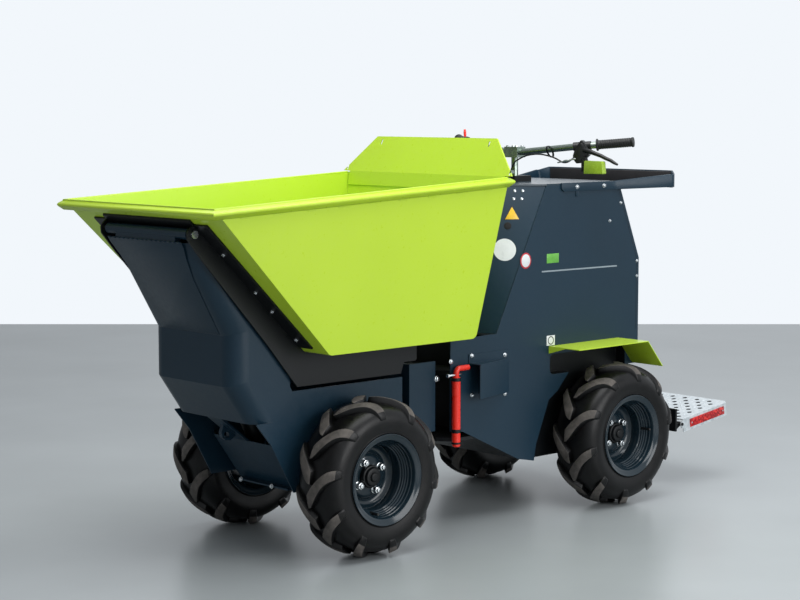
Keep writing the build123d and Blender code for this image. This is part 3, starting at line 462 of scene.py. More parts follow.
# %% Paint the frame
PAINT = {
    lime: ["skip_tub", "skip_rim", "spill_guard", "fender_left", "fender_right"],
    slate: ["body_side_left", "body_side_right", "hood_front", "rear_panel", "guard_rail",
            "side_scoop", "front_chassis", "front_lower_panel", "tow_eye", "hinge_tube",
            "hinge_post"],
    # The lid's lighter slate is a painted highlight.
    lid_slate_highlit: ["top_cover"],
    slate_rim: ["rim_fl", "rim_fr", "rim_rl", "rim_rr"],
    black: ["skip_carrier", "step_mount", "front_axle", "rear_axle", "ram_barrel",
            "wheelhouse_left", "wheelhouse_right", "steering_bearing", "battery_pack",
            # rear_frame is black as painted shade, for the shadowed bulkhead above the hinge post.
            "rear_frame"],
    red: ["lock_bar"],
    zinc: ["handlebar_stem", "handlebar"],
    bolt_zinc: ["tip_pins", "pivot_pin"],
    chrome: ["ram_rod"],
    spangle: ["step_platform"],
    plastic: ["lever_housings", "control_cable"],
    grip_rubber: ["grips"],
    rubber: ["tyre_fl", "tyre_fr", "tyre_rl", "tyre_rr"],
}
for finish, names in PAINT.items():
    for n in names:
        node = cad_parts[n]
        node.data.materials.clear()
        node.data.materials.append(finish)
unpainted = sorted(set(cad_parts) - {n for names in PAINT.values() for n in names})
print("painted", len(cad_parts) - len(unpainted), "solids; left:", unpainted)

# %% [markdown]
# ## Tyre casing
# These are farm-pattern tyres: a smooth casing with bars that run from the middle of the tread out
# over the shoulder, left and right in turn. The casing is round in section, from a crown that is
# barely curved to a sidewall that bulges past the rim, so it is one spun profile.

# %% Casing
# columns: millimetres across from the middle of the tread, radius
CROWN = [(0, 238), (26, 237.5), (46, 235), (62, 230.5), (75, 223), (84, 213), (90, 201),
         (92.5, 188), (92, 175), (89.5, 162), (87, 152), (85, 144), (83.5, 134), (82.5, 128)]
LINING = [(77, 128), (78, 150), (83, 176), (82, 196), (66, 214), (36, 223), (0, 226)]


def both_halves(outer, inner):
    """A closed ring of a half profile and its mirror image, from one middle to the other."""
    loop = outer + inner
    mirrored = [(-a, r) for a, r in inner[:-1][::-1]] + [(-a, r) for a, r in outer[1:][::-1]]
    return loop + mirrored


casing = spun("tyre_casing", both_halves(CROWN, LINING), 96)
print("casing faces:", len(casing.data.polygons))

# %% [markdown]
# ## Tyre lugs
# One lug starts as a flat grid that is extruded to a block. Each of its stations along the bar is
# then put on the casing: wide at the head in the middle of the tread, narrow at the shoulder, and
# turned down the sidewall at its tail. A bevel rounds the moulded edges. Ten copies go round each
# side, half a step apart, and the tops take the worn finish.

# %% One lug
# columns: place along the lug, its two edges round the tyre, then across and radius of the top
# and across and radius of the root. The edges are millimetres round a circle of LUG_ROUND.
LUG = [
    (0.00, -4, 38, -9, 253.5, -10, 233),
    (0.08, -16, 37, 1, 255.0, 0, 233),
    (0.20, -31, 25, 14, 255.8, 13, 233),
    (0.34, -47, 4, 29, 255.5, 29, 233),
    (0.48, -62, -17, 44, 253.5, 44, 231),
    (0.62, -76, -36, 58, 249.5, 58, 227),
    (0.74, -88, -50, 71, 242.5, 70, 220),
    (0.84, -96, -60, 82.5, 231.0, 79, 211),
    (0.91, -100, -66, 89.5, 219.0, 84, 203),
    (0.96, -101, -71, 93.5, 207.0, 88, 197),
    (1.00, -100, -76, 94.5, 197.0, 89, 190),
]
LUG_ROUND = 250.0
LUG_DRAFT = 5.0         # how much wider each side of a lug is at its root
LUGS = 10               # on each side of a tyre
WORN_ALONG = 0.80       # the worn top ends here, on a grid that runs from -1 to 1


def along(table, t):
    """Reads a table of (t, value, ...) rows at t, with straight lines between."""
    for (t0, *a), (t1, *b) in zip(table, table[1:]):
        if t <= t1:
            k = (t - t0) / (t1 - t0)
            return [u + (v - u) * k for u, v in zip(a, b)]
    return list(table[-1][1:])


def tread_lug():
    """One lug of the left side, in its place round the top of the tyre."""
    o = extruded(grid(20, 2), -1)
    o.data.materials.append(rubber)
    o.data.materials.append(worn_rubber)
    for p in o.data.polygons:
        if p.normal.z > 0.9 and p.center.x < WORN_ALONG:
            p.material_index = 1
    for v in o.data.vertices:
        t, side, height = (v.co.x + 1) / 2, v.co.y, 1 + v.co.z
        lead, trail, top_a, top_r, root_a, root_r = along(LUG, t)
        a = root_a + (top_a - root_a) * height
        r = root_r + (top_r - root_r) * height
        draft = side * LUG_DRAFT * (1 - height)
        angle = ((lead + trail) / 2 + side * (trail - lead) / 2 + draft) / LUG_ROUND
        v.co = (r / 1000 * sin(angle), a / 1000, r / 1000 * cos(angle))
    rounded(o, 0.0024, 38)
    edit(o, lambda: bpy.ops.mesh.normals_make_consistent(inside=False))
    return o


lug = tread_lug()
print("lug faces:", len(lug.data.polygons))

# %% Four tyres
casing.data.materials.append(rubber)
rounds = [casing]
for i in range(LUGS):
    for side in (1, -1):
        turn = Matrix.Rotation(2 * pi * (i + (0.5 if side < 0 else 0.0)) / LUGS, 4, "Y")
        twin = copy_to(lug, turn @ Matrix.Diagonal((1, side, 1, 1)))
        if side < 0:
            twin.data.flip_normals()
        rounds.append(twin)
bead = [(84, 147.5), (87.5, 148.5), (88.5, 150), (87.5, 151.5), (84, 152.5)]
for side in (1, -1):
    line = spun("rim_guard_line", [(side * a, r) for a, r in bead], 96)
    line.data.materials.append(rubber)
    rounds.append(line)
master = join(rounds)
bpy.data.objects.remove(lug)

# columns: place along the machine, side, body, turn of the lugs in degrees
WHEELS = {"fl": (0, 1, "wheel_front_left", 25.6), "fr": (0, -1, "wheel_front_right", 12.0),
          "rl": (-WHEELBASE, 1, "wheel_rear_left", 10.2),
          "rr": (-WHEELBASE, -1, "wheel_rear_right", 30.0)}
for key, (x, side, body, turn) in WHEELS.items():
    place = Matrix.Translation(at(x, side * TRACK_HALF, AXLE_Z))
    tyre = copy_to(master, place @ Matrix.Rotation(radians(turn), 4, "Y"))
    for v in tyre.data.vertices:
        v.co.z = max(v.co.z, FLOOR_GAP)
    settle(tyre, "tyre_" + key + "_lugged", None, body, 42)
    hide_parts("tyre_" + key)
print("tyre triangles:", triangles(master))
bpy.data.objects.remove(master)

# %% [markdown]
# ## Wheels
# The rim is rolled from one strip: a rounded flange that holds the bead, the bead seat, and a well
# in the middle that lets the tyre go on. The pressed disc is welded inside the well, and the black
# hub stands through it. All three are spun profiles, with the roll and the press marks drawn in.

# %% Rim, disc and hub
# columns: millimetres outwards from the middle of the wheel, radius
RIM_INSIDE = [(0, 104.5), (30, 104.5), (33, 105.2), (36, 108.5), (41, 109.5), (44, 112.5),
              (48, 113.5), (51, 116.5), (56, 117.5), (59, 120.2), (68, 121), (70.5, 123.2),
              (79, 124.2), (83, 126), (85.6, 130), (87.0, 136), (88.6, 140), (90.4, 143.0)]
RIM_OUTSIDE = [(91.4, 145.0), (90.4, 146.4), (88, 146.6), (86, 144.6), (84.2, 139),
               (82.8, 132.5), (81, 128.3), (76, 127.4), (60, 125), (54, 122.5), (46, 115.5),
               (40, 110), (34, 108.5), (0, 108.5)]
DISC = [(-1, 24), (-1, 60), (-1.8, 64), (-4.5, 68.5), (-9, 72.5), (-13.5, 76), (-16, 80),
        (-16.6, 85), (-15.4, 91), (-12, 96), (-8, 99.5), (-3, 103.2), (-3, 104.4), (-8, 104.4),
        (-13, 102), (-18, 98), (-21, 92), (-22, 85), (-21, 78), (-17, 73), (-12, 69), (-8, 65),
        (-7, 60), (-7, 24)]
HUB = [(-57, 20.6), (-57, 36), (-55, 38), (-7, 38), (-7, 37), (13, 37), (16, 35), (17, 31),
       (23, 30), (26, 28), (27.5, 24), (27.5, 16), (32, 15), (34, 12.5), (34.6, 8), (34.6, 0),
       (24, 0), (24, 20.6)]
VALVE = [(40, 0), (40, 5.6), (52, 5.0), (56, 4.0), (68, 4.0), (68.5, 4.8), (78, 4.8),
         (79, 3.6), (79, 0)]
WELL = 0.1125           # radius of the well where the valve stands, in metres
rim = spun("rim_shell", both_halves(RIM_INSIDE, RIM_OUTSIDE), 112)
disc = spun("wheel_disc", DISC, 96)
hub = spun("wheel_hub", HUB, 64)
stem = spun("valve", VALVE, 20)     # a rubber stem with its cap
stem.data.transform(Matrix.Translation((0, 0, WELL)))
VALVE_TURN = {"fl": 165.0, "fr": 120.0, "rl": -86.0, "rr": 60.0}
for key, (x, side, body, turn) in WHEELS.items():
    place = Matrix.Translation(at(x, side * TRACK_HALF, AXLE_Z))
    turned = place @ Matrix.Rotation(0 if side > 0 else pi, 4, "Z")
    wheel = join([copy_to(rim, turned), copy_to(disc, turned)])
    settle(wheel, "wheel_disc_" + key, slate_rim, body, 30)
    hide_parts("rim_" + key)
    settle(copy_to(hub, turned), "wheel_hub_" + key, black, body, 30)
    up = Matrix.Rotation(radians(VALVE_TURN[key]), 4, "Y")
    settle(copy_to(stem, turned @ up), "valve_" + key, plastic, body, 30)
print("rim triangles:", triangles(rim))
for o in (rim, disc, hub, stem):
    bpy.data.objects.remove(o)

# %% [markdown]
# ## Bolts
# A bolt head is a hexagon with chamfered corners on a round washer. One is modelled at unit size
# and copied to a table of places. All the bolts of one body are joined into one piece. The wheel
# nuts are taller, with a ball seat below and the stud's end above.

# %% One bolt and one wheel nut
def turned_stud(parts):
    """Joins bevelled cylinders, given as (sides, radius, length, middle, bevel)."""
    made = []
    for sides, radius, length, middle, bevel in parts:
        o = rounded(cylinder(sides, radius, length, middle), bevel)
        only(o)
        bpy.ops.object.transform_apply()
        made.append(o)
    return join(made)


# the hexagon is 1 across its flats
bolt = turned_stud([(6, 0.577, 0.42, 0.31, 0.05), (20, 0.72, 0.12, 0.05, 0.03)])
wheel_nut = turned_stud([(6, 0.577, 0.80, 0.50, 0.07), (24, 0.66, 0.20, 0.08, 0.06),
                         (16, 0.33, 0.40, 1.0, 0.05)])


def bolts(name, body, rows, pattern=bolt):
    """Bolts at rows of (x, y, z, outward, width across the hexagon in mm), each turned on."""
    made = []
    for i, (x, y, z, out, size) in enumerate(rows):
        seat = frame_at(at(x, y, z), out, (0.3, 0.2, 1)) @ Matrix.Rotation(0.7 * i, 4, "Z")
        made.append(copy_to(pattern, seat @ Matrix.Scale(size / 1000, 4)))
    print(name, len(made))
    return settle(join(made), name, bolt_zinc, body, 30)

# %% Wheel nuts
NUT_TURN = {"fl": 28.0, "fr": 10.0, "rl": 38.0, "rr": 60.0}
NUT_CIRCLE = 52.5       # radius of the ring of nuts
NUT_SEAT = 323          # from the middle of the machine out to the disc
for key, (x, side, body, turn) in WHEELS.items():
    rows = []
    for i in range(4):
        angle = radians(90 * i + NUT_TURN[key])
        rows.append((x + NUT_CIRCLE * sin(angle), side * NUT_SEAT,
                     AXLE_Z + NUT_CIRCLE * cos(angle), (0, side, 0), 21))
    bolts("wheel_nuts_" + key, body, rows, pattern=wheel_nut)

# %% Bolts on the rear body
LEFT, RIGHT = (0, 1, 0), (0, -1, 0)
SCOOP_FACE = 253
rows = [(-532.6, SCOOP_FACE, 575.8, LEFT, 10.5), (-692.9, SCOOP_FACE, 564.8, LEFT, 10.5),
        (-536.5, SIDE_FACE, 441.7, LEFT, 10.5), (-697.2, SIDE_FACE, 428.4, LEFT, 10.5)]
for x, z in ((-1295.8, 1066.9), (-1236.3, 1004), (-1389.6, 850.5), (-1390.8, 795)):
    rows.append((x, SIDE_FACE, z, LEFT, 8))
rows += [(x, -y, z, RIGHT, size) for x, y, z, out, size in rows[4:]]
for s in (1, -1):
    out = (0, s, 0)
    rows += [(x, s * 256, 1132, out, 11) for x in (-1052, -1196)]
    rows.append((-436, s * SIDE_FACE, 564, out, 11))
bolts("body_bolts", "rear", rows)
FACET = Vector((0.535, 0.820, 0.200))       # which way the slanted corner panel looks
rows = [(x, y, z, FACET, 6.5) for x, y, z in (
    (-802.9, 189.9, 1123.4), (-827, 205.2, 1123.2), (-796, 191.9, 1095.9), (-819.8, 207.6, 1095.7))]
rows += [(x, -y, z, Vector((0.535, -0.820, 0.200)), size) for x, y, z, out, size in rows]
bolts("hood_corner_bolts", "rear", rows)

# %% Bolts on the front half and the skip
wall = (0.711, 0, -0.703)       # which way the skip's sloping front wall looks
rows = [(x + 4, s * 253, z - 4, wall, 11)
        for x, z in ((513, 978), (392, 857), (328, 794), (233, 699)) for s in (1, -1)]
bolts("carrier_bolts", "skip", rows)
rows = [(172, y, 194, (1, 0, 0.15), 11) for y in (-114, 47)]
rows += [(-405, s * 215, 505, (0, s, 0), 15) for s in (1, -1)]
bolts("chin_bolts", "front", rows)

# %% [markdown]
# ## Thin plates and bars
# Labels, pads and reflectors are all flat outlines with a thickness, so one helper draws the
# outline in its own plane, extrudes it in edit mode, rounds its edges and lays it on a surface.
# Pins and rods are cylinders between two points with their ends bevelled.

# %% Plate and pin helpers
def plate(outline, thick, m, bevel=0.3):
    """A flat plate: outline in mm in its own plane, with its back on the surface of the matrix."""
    points = [(x / 1000, y / 1000, 0) for x, y in outline]
    o = extruded(drawn("plate", points, faces=[tuple(range(len(points)))]), thick / 1000)
    if bevel:
        rounded(o, bevel / 1000, 40)
    o.data.transform(m)
    return o


def pin(p, q, diameter, bevel=0.6, sides=24):
    """A round pin between two points, with its ends bevelled."""
    run = q - p
    o = rounded(cylinder(sides, diameter / 2000, run.length), bevel / 1000)
    o.data.transform(frame_at((p + q) / 2, run, (0.31, 0.22, 0.93)))
    return o


def oval(width, height, steps=40):
    """The outline of an oval."""
    turns = [2 * pi * i / steps for i in range(steps)]
    return [(width / 2 * cos(a), height / 2 * sin(a)) for a in turns]


def card(width, height):
    """The outline of a rectangle."""
    w, h = width / 2, height / 2
    return [(-w, -h), (w, -h), (w, h), (-w, h)]


# %% [markdown]
# ## Labels on the body
# The body carries a few printed films: a yellow triangle and a round white plate on the slanted
# corner panel, and an oval with a red edge, a green tab, a long grey line and a small white square
# with a dark ring on the side. They are left blank. Each border is a larger film under the face.

# %% Labels
SIDE = Vector((0, 1, 0))


def side_at(x, z):
    """The matrix of a place on the left side sheet."""
    return frame_at(at(x, SIDE_FACE, z), SIDE)


def film_on(node, m, width, height, lift=0.5):
    """A thin oval film that follows the surface of a frame solid."""
    o = grid(20, 20)
    for v in o.data.vertices:
        x, y = v.co.x, v.co.y
        x, y = x * (1 - y * y / 2) ** 0.5, y * (1 - x * x / 2) ** 0.5
        start = m @ Vector((x * width / 2000, y * height / 2000, 0))
        place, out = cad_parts[node].closest_point_on_mesh(start)[1:3]
        v.co = place + out * lift / 1000
    modify(o, "SOLIDIFY", thickness=0.0006, offset=-1.0)
    return o


def on_node(node, x, y, z):
    """The matrix of the nearest place on a frame solid, with Z out of its surface."""
    place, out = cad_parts[node].closest_point_on_mesh(at(x, y, z))[1:3]
    return frame_at(place, out)


FILM, FACE = 0.5, 0.9       # how far a film, and the face on it, stand off the sheet
corner = on_node("hood_front", -782.4, 196.8, 1042.2)
bulge = on_node("hood_front", -742.9, 201.6, 921.6)
stripe = [(0, -2.6), (399, -4.5), (399, 0.7), (0, 2.6)]
for name, film, finish in (
        ("triangle_border", plate([(-28, -19), (28, -19), (1, 32)], FILM, corner), film_dark),
        ("triangle_face", plate([(-24.5, -16.8), (24.5, -16.8), (1, 27)], FACE, corner),
         film_yellow),
        ("round_plate", film_on("hood_front", bulge, 78, 78), film_white),
        ("oval_border", plate(oval(54, 56), FILM, side_at(-797.5, 883.3)), film_red),
        ("oval_face", plate(oval(43, 45), FACE, side_at(-797.5, 883.3)), film_white),
        ("green_tab", plate(card(62, 33), 0.6, side_at(-935, 884.5)), film_green),
        ("grey_line", plate(stripe, 0.4, side_at(-879, 840.3), 0), film_grey),
        ("white_square", plate(card(42, 35), FILM, side_at(-928, 594.5)), film_white)):
    settle(film, name, finish, "rear")
ring = spun("ring", [(0.2, 11.8), (0.2, 15), (FACE, 15), (FACE, 11.8)], 40)
ring.data.transform(Matrix.Translation(at(-928, SIDE_FACE, 594.5)))
settle(ring, "white_square_face", film_dark, "rear")
plug = plate(oval(25, 25, 28), 2.4, on_node("hood_front", -764.7, 194.3, 1003.4), 0.8)
settle(plug, "cable_plug", hollow_black, "rear")
seam = [(-1284, 1136), (-1288, 1110), (-1389, 862), (-1389, 600),
        (-1387.6, 600), (-1387.6, 862), (-1286.4, 1110), (-1282.4, 1136)]
sheet_edge = plate([(-x, z) for x, z in seam], 0.5, frame_at(at(0, SIDE_FACE, 0), SIDE), 0)
settle(sheet_edge, "side_seam", film_dark, "rear")
print("labels done")

# %% [markdown]
# ## Rolled rim of the skip
# The upper edge of the skip is folded out and back into a hollow rim, which stiffens it. A press
# brake leaves a soft bend of several millimetres along its widest line. The frame's rim has a sharp
# line there, so a merged copy gets its flat triangles dissolved, the edges between a face that
# looks up and one that looks down are selected, and a bevel rolls them.

# %% Rolled rim
def copy_of(node):
    """A merged copy of a frame solid, with its flat triangles dissolved to whole faces."""
    o = copy_to(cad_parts[node], Matrix())
    o.data.materials.clear()

    def step():
        bpy.ops.mesh.remove_doubles(threshold=1e-5)
        bpy.ops.mesh.dissolve_limited(angle_limit=radians(1.0))
    edit(o, step)
    return o


def roll_edges(o, chosen, width, segments):
    """Bevels the edges for which chosen(edge) is true, and says how many there are."""
    only(o)
    bpy.ops.object.mode_set(mode="EDIT")
    bpy.ops.mesh.select_mode(type="EDGE")
    bpy.ops.mesh.select_all(action="DESELECT")
    bm = bmesh.from_edit_mesh(o.data)
    edges = [e for e in bm.edges if len(e.link_faces) == 2 and chosen(e)]
    for e in edges:
        e.select_set(True)
    bmesh.update_edit_mesh(o.data)
    bpy.ops.mesh.bevel(offset=width, segments=segments, affect="EDGES")
    bpy.ops.object.mode_set(mode="OBJECT")
    return len(edges)


def widest(e):
    """Whether an edge lies along the widest line of the rim."""
    heights = [f.normal.z for f in e.link_faces]
    sharp = e.is_convex and e.calc_face_angle() > radians(30)
    return sharp and max(heights) > 0.25 and min(heights) < -0.25


rim_roll = copy_of("skip_rim")
found = roll_edges(rim_roll, widest, 0.009, 4)
settle(rim_roll, "rolled_rim", lime, "skip", 40)
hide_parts("skip_rim")
print("rolled", found, "edges of the rim")

# %% [markdown]
# ## Weld beads
# A hand-run weld is a row of overlapping ripples. A curve through points every few millimetres,
# with the radius going up and down from point to point, gives those ripples when it becomes a tube.
# Thin sheet is only stitched, a few centimetres at a time, so that it doesn't warp.

# %% Tubes and welds
def tube(points, diameter, swell=None, sides=3):
    """A round bar through points in metres; swell gives a radius factor for each point."""
    curve = bpy.data.curves.new("tube", "CURVE")
    curve.dimensions = "3D"
    curve.bevel_depth = diameter / 2000
    curve.bevel_resolution = sides
    curve.use_fill_caps = True
    line = curve.splines.new("POLY")
    line.points.add(len(points) - 1)
    for i, p in enumerate(points):
        line.points[i].co = (*p, 1)
        line.points[i].radius = swell[i] if swell else 1.0
    only(placed("tube", curve))
    bpy.ops.object.convert(target="MESH")
    return tidy_shell(bpy.context.object)


def weld(p, q, diameter=5.0, ripple=3.2):
    """A rippled bead between two points."""
    n = max(3, int((q - p).length * 1000 / ripple))
    swell = [0.55 if i in (0, n) else 1.0 if i % 2 else 0.82 for i in range(n + 1)]
    return tube([p.lerp(q, i / n) for i in range(n + 1)], diameter, swell, 2)


face = frame_at(at(625.6, 0, 1011), (0.863, 0, -0.505), (0.505, 0, 0.863))
half = [(192, 4), (192, -14), (176, -60), (160, -130), (150, -338)]
head = plate([(-y, z) for y, z in half] + half[::-1], 1.0, face, 0.3)
settle(head, "nose_head_plate", slate, "front")
rows = []
for y in range(-186, 178, 24):
    p, q = (face @ Vector((v / 1000, 0.003, 0.002)) for v in (y, y + 13))
    rows.append(weld(p, q, 6.5))
settle(join(rows), "hinge_tube_welds", slate, "front", 60)


def under_rim(x, s):
    """A place on the side wall just below the rim, which falls towards the front."""
    z = 1120 + (656 - x) * 61 / 1211 - 33
    return at(x, s * (350 + 0.0974 * (z - 650) + 0.6), z)


rows = [weld(under_rim(x, s), under_rim(x - 40, s), 4.5)
        for s in (1, -1) for x in range(560, -500, -125)]
settle(join(rows), "rim_welds", lime, "skip", 60)
print("welds done")

# %% Top bead
# The sheet turns over a small radius along the top of three walls; the guard covers the fourth.
back, front = (-547, 400.6, 1180.0), (655.4, 395.2, 1119.4)
path = [at(x, s * y, z) for s, pair in ((1, (back, front)), (-1, (front, back)))
        for x, y, z in pair]
settle(tube(path, 7.4, None, 4), "rim_top_bead", lime, "skip", 60)
print("top bead through", len(path), "corners")

# %% [markdown]
# ## Deck of the step
# The driver stands on a galvanised sheet with its edges turned down. It is pierced in staggered
# rows and pressed with small dimples, so that it grips a boot and lets mud through. The holes are
# one joined cutter and a single exact boolean; the dimples are one flattened dome, copied. A collar
# lines each hole, in dark steel as painted shade, so that the holes read dark inside. Both rear
# corners are cut off at an angle and closed with a strip.

# %% Deck
DECK = Matrix.Translation(at(-1578, 0, 249)) @ Matrix.Rotation(radians(7.6), 4, "Y")
DECK_TURN = DECK.to_3x3()
DECK_UP = DECK_TURN @ Vector((0, 0, 1))
HOLE_ROWS, ROW_STEP = 8, 32         # rows of holes along the deck, and their spacing
HOLE_STEP, STAGGER = 60, 15         # spacing across the deck, and each row's shift to a side
DECK_CLEAR = 292                    # from the middle out to where the sheet is left whole


def on_deck(x, y, z):
    """A point of the deck in mm: x back from its pins is negative, z from its top face."""
    return DECK @ Vector((x / 1000, y / 1000, z / 1000))


def cut(o, cutter):
    """Takes one shape out of another and removes the cutter."""
    modify(o, "BOOLEAN", operation="DIFFERENCE", solver="EXACT", object=cutter)
    bpy.data.objects.remove(cutter)
    return o


deck = copy_of("step_platform")
holes, dimples, collars = [], [], []
punch = cylinder(20, 0.0094, 0.02)
bpy.ops.object.select_all(action="DESELECT")
bpy.ops.mesh.primitive_uv_sphere_add(segments=12, ring_count=6, radius=0.0046)
dome = bpy.context.object
dome.data.transform(Matrix.Diagonal((1, 1, 0.36, 1)))
collar = spun("collar", [(-10.5, 8.9), (-0.6, 9.2), (-0.6, 10.4), (-10.5, 9.8)], 20)
collar.data.transform(Matrix.Rotation(radians(90), 4, "X"))
for i in range(HOLE_ROWS):
    for j in range(-5, 6):
        x = -26 - ROW_STEP * i
        y = HOLE_STEP * j + (STAGGER if i % 2 else -STAGGER)
        spot = DECK @ Matrix.Translation((x / 1000, y / 1000, 0))
        if abs(y) < DECK_CLEAR:
            holes.append(copy_to(punch, spot))
            collars.append(copy_to(collar, spot))
        if abs(y + HOLE_STEP / 2) < DECK_CLEAR + 4:
            dimples.append(copy_to(dome, spot @ Matrix.Translation((0, HOLE_STEP / 2000, 0))))
cut(deck, tidy_shell(join(holes)))
for s in (1, -1):
    wedge = [(-283, s * 304), (-261, s * 326), (-300, s * 340)]
    cut(deck, plate(wedge, 60, DECK @ Matrix.Translation((0, 0, -0.055)), 0))
strips = []
for s in (1, -1):
    place = frame_at(on_deck(-272, s * 314.6, -25), DECK_TURN @ Vector((-1, s, 0)), DECK_UP)
    strips.append(plate(card(29, 50), 3, place @ Matrix.Translation((0, 0, -0.003)), 0.5))
deck = join([deck] + strips + dimples)
settle(deck, "step_deck", spangle, "step", 30)
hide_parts("step_platform")
# The collars take the dark steel as painted shade, so that the holes read dark inside.
settle(join(collars), "deck_collars", hole_shade_steel, "step", 30)
for o in (punch, dome, collar):
    bpy.data.objects.remove(o)
print("deck holes:", len(holes), "dimples:", len(dimples), "faces:", len(deck.data.polygons))

# %% Reflectors on the step
faces, rivets = [], []
for s in (1, -1):
    out = DECK_TURN @ Vector((0, s, 0))
    place = frame_at(on_deck(-143, s * 325, -25), out, DECK_UP)
    faces.append(plate(card(206, 31), 2.4, place, 0.8))
    for x in (-49, -237):
        p = on_deck(x, s * 327.2, -25)
        rivets.append(pin(p - out * 0.001, p + out * 0.0016, 7, 0.7, 16))
settle(join(faces), "step_reflectors", reflector, "step")
settle(join(rivets), "reflector_rivets", bolt_zinc, "step")
print("reflectors and", len(rivets), "rivets")

# %% [markdown]
# ## Grips
# A moulded rubber grip is a sleeve with a flange at the inner end, so the hand doesn't slip on to
# the levers, fine ribs round it and a closed, slightly wider cap at its end. It is turned, so one
# profile with the ribs drawn in is spun and laid on the bar's outer run.

# %% Grips
BAR_END = Vector((-1143, 434, 1291))
BAR_RUN = Vector((-98, 164, 16)).normalized()


def bar_frame(s, distance):
    """Y along the bar's outer run towards its end on side s, a distance in mm before that end."""
    p, run = BAR_END - BAR_RUN * distance, BAR_RUN.copy()
    p.y, run.y = s * p.y, s * run.y
    return frame_at(at(*p), run) @ Matrix.Rotation(radians(90), 4, "X")


RIBS, RIB_STEP = 14, 8
grip = [(-129, 12.1), (-129, 20), (-128, 21.5), (-124.5, 21.5), (-123.5, 20), (-122, 16.5)]
for i in range(RIBS):
    a = -118 + RIB_STEP * i
    grip += [(a, 16.2), (a + 4.6, 16.2), (a + 5.6, 14.9), (a + 7.0, 14.9)]
grip += [(-4, 17.2), (1, 17.6), (3.2, 16.2), (4, 13.5), (4, 0), (0.2, 0), (0.2, 12.1)]
one = spun("grip", grip, 40)
both = join([copy_to(one, bar_frame(s, 0)) for s in (1, -1)])
settle(both, "grips_ribbed", grip_rubber, "steering_bar", 35)
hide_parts("grips")
bpy.data.objects.remove(one)
print("grips:", RIBS, "ribs each")

# %% [markdown]
# ## Lever housings and levers
# Inboard of each grip a moulded housing is clamped on the bar, pointed at its top, and carries a
# cranked lever in front of the fingers. The housing is an outline with a thickness and a generous
# bevel; the lever is a bar through a few points that tapers to its tip.

# %% Housings and levers
TEARDROP = [(-3, 21), (3, 21), (10, 12), (21, -3), (28, -18), (27, -32), (16, -42), (6, -51),
            (-4, -60), (-18, -61), (-28, -48), (-31, -34), (-26, -18), (-16, 0), (-8, 14)]
LEVER = [(-1040, 300, 1262), (-1033, 335, 1257), (-1037, 356, 1250), (-1041, 375, 1244),
         (-1045, 395, 1235), (-1049, 414, 1228), (-1052, 428, 1220), (-1054, 441, 1214)]
THICKNESS = [1.2, 1.15, 1.0, 0.95, 0.9, 0.85, 0.75, 0.5]
COLLAR = [(-32, 12.1), (-32, 14.5), (-31, 15.5), (31, 15.5), (32, 14.5), (32, 12.1)]
housings, levers = [], []
for s in (1, -1):
    m = frame_at(at(-1051, s * 280, 1276), (0.86, s * 0.51, 0))
    outline = [(s * x, y) for x, y in TEARDROP]
    body = plate(outline, 38, m @ Matrix.Translation((0, 0, -0.019)), 0)
    rounded(body, 0.005, 50, 3)
    outline = [(s * x * 0.78, y * 0.78 - 5) for x, y in TEARDROP]
    band = plate(outline, 45, m @ Matrix.Translation((0, 0, -0.0225)), 2.0)
    clamp = spun("clamp", COLLAR, 32)
    clamp.data.transform(bar_frame(s, 180))
    housings += [body, band, clamp]
    levers.append(tube([at(x, s * y, z) for x, y, z in LEVER], 15, THICKNESS, 4))
shell = join(housings)
settle(shell, "lever_housings_moulded", plastic, "steering_bar", 40)
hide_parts("lever_housings")
settle(join(levers), "levers", plastic, "steering_bar", 40)
print("lever housings and levers:", len(levers), "each")

# %% [markdown]
# ## Fittings on the bar
# A lime release handle hangs below the left lever on a black bracket. A thin rod with a screw
# adjuster runs to the housing, and a strap holds the cable to the bar. Four screws close the clamp
# on the stem.

# %% Handle, rod, strap and screws
FORWARD = (1, 0, 0)
outline = [(-44, -21), (-42, -23), (42, -22), (44, -19), (40, 20), (37, 22), (-39, 23), (-42, 21)]
handle = plate(outline, 20, frame_at(at(-1048, 351, 1203), FORWARD), 2.0)
settle(handle, "release_handle", lime_plastic, "steering_bar")
outline = [(-11, -20), (11, -20), (12, 18), (6, 34), (-6, 34), (-12, 16)]
root = plate(outline, 15, frame_at(at(-1045, 304, 1206), FORWARD), 3.0)
settle(root, "release_bracket", plastic, "steering_bar")
rod = pin(at(-1007, 203, 1217), at(-1022, 276, 1232), 5)
screw = pin(at(-1012, 228, 1222.2), at(-1016.5, 249, 1226.5), 9, 1.0, 6)
settle(join([rod, screw]), "adjuster_rod", bolt_zinc, "steering_bar")
strap = spun("strap", [(-3.5, 13.4), (3.5, 13.4), (3.5, 15.2), (-3.5, 15.2)], 40)
m = frame_at(at(-1013.5, 160, 1255), (-45, 230, 23), (20, 0, 18))
stretch = Matrix.Diagonal((1, 1, 1.75, 1))
strap.data.transform(m @ Matrix.Rotation(radians(90), 4, "X") @ stretch)
settle(strap, "cable_strap", plastic, "steering_bar")
rows = [(-1000 + dx, dy, 1270, (0, 0, 1), 10) for dx in (-15, 15) for dy in (-22, 22)]
bolts("stem_clamp_screws", "steering_bar", rows)
tab = plate(card(14, 27), 3, frame_at(at(-1058, SIDE_FACE, 1111), SIDE), 0.8)
settle(tab, "rail_tab", slate, "rear")
tip = [(-1086, -342, 1282), (-1088, -344, 1300), (-1090, -347, 1316), (-1092, -350, 1328)]
settle(tube([at(*c) for c in tip], 11, [0.7, 0.8, 1.0, 0.7], 3), "thumb_lever", red, "steering_bar")
print("bar fittings done")

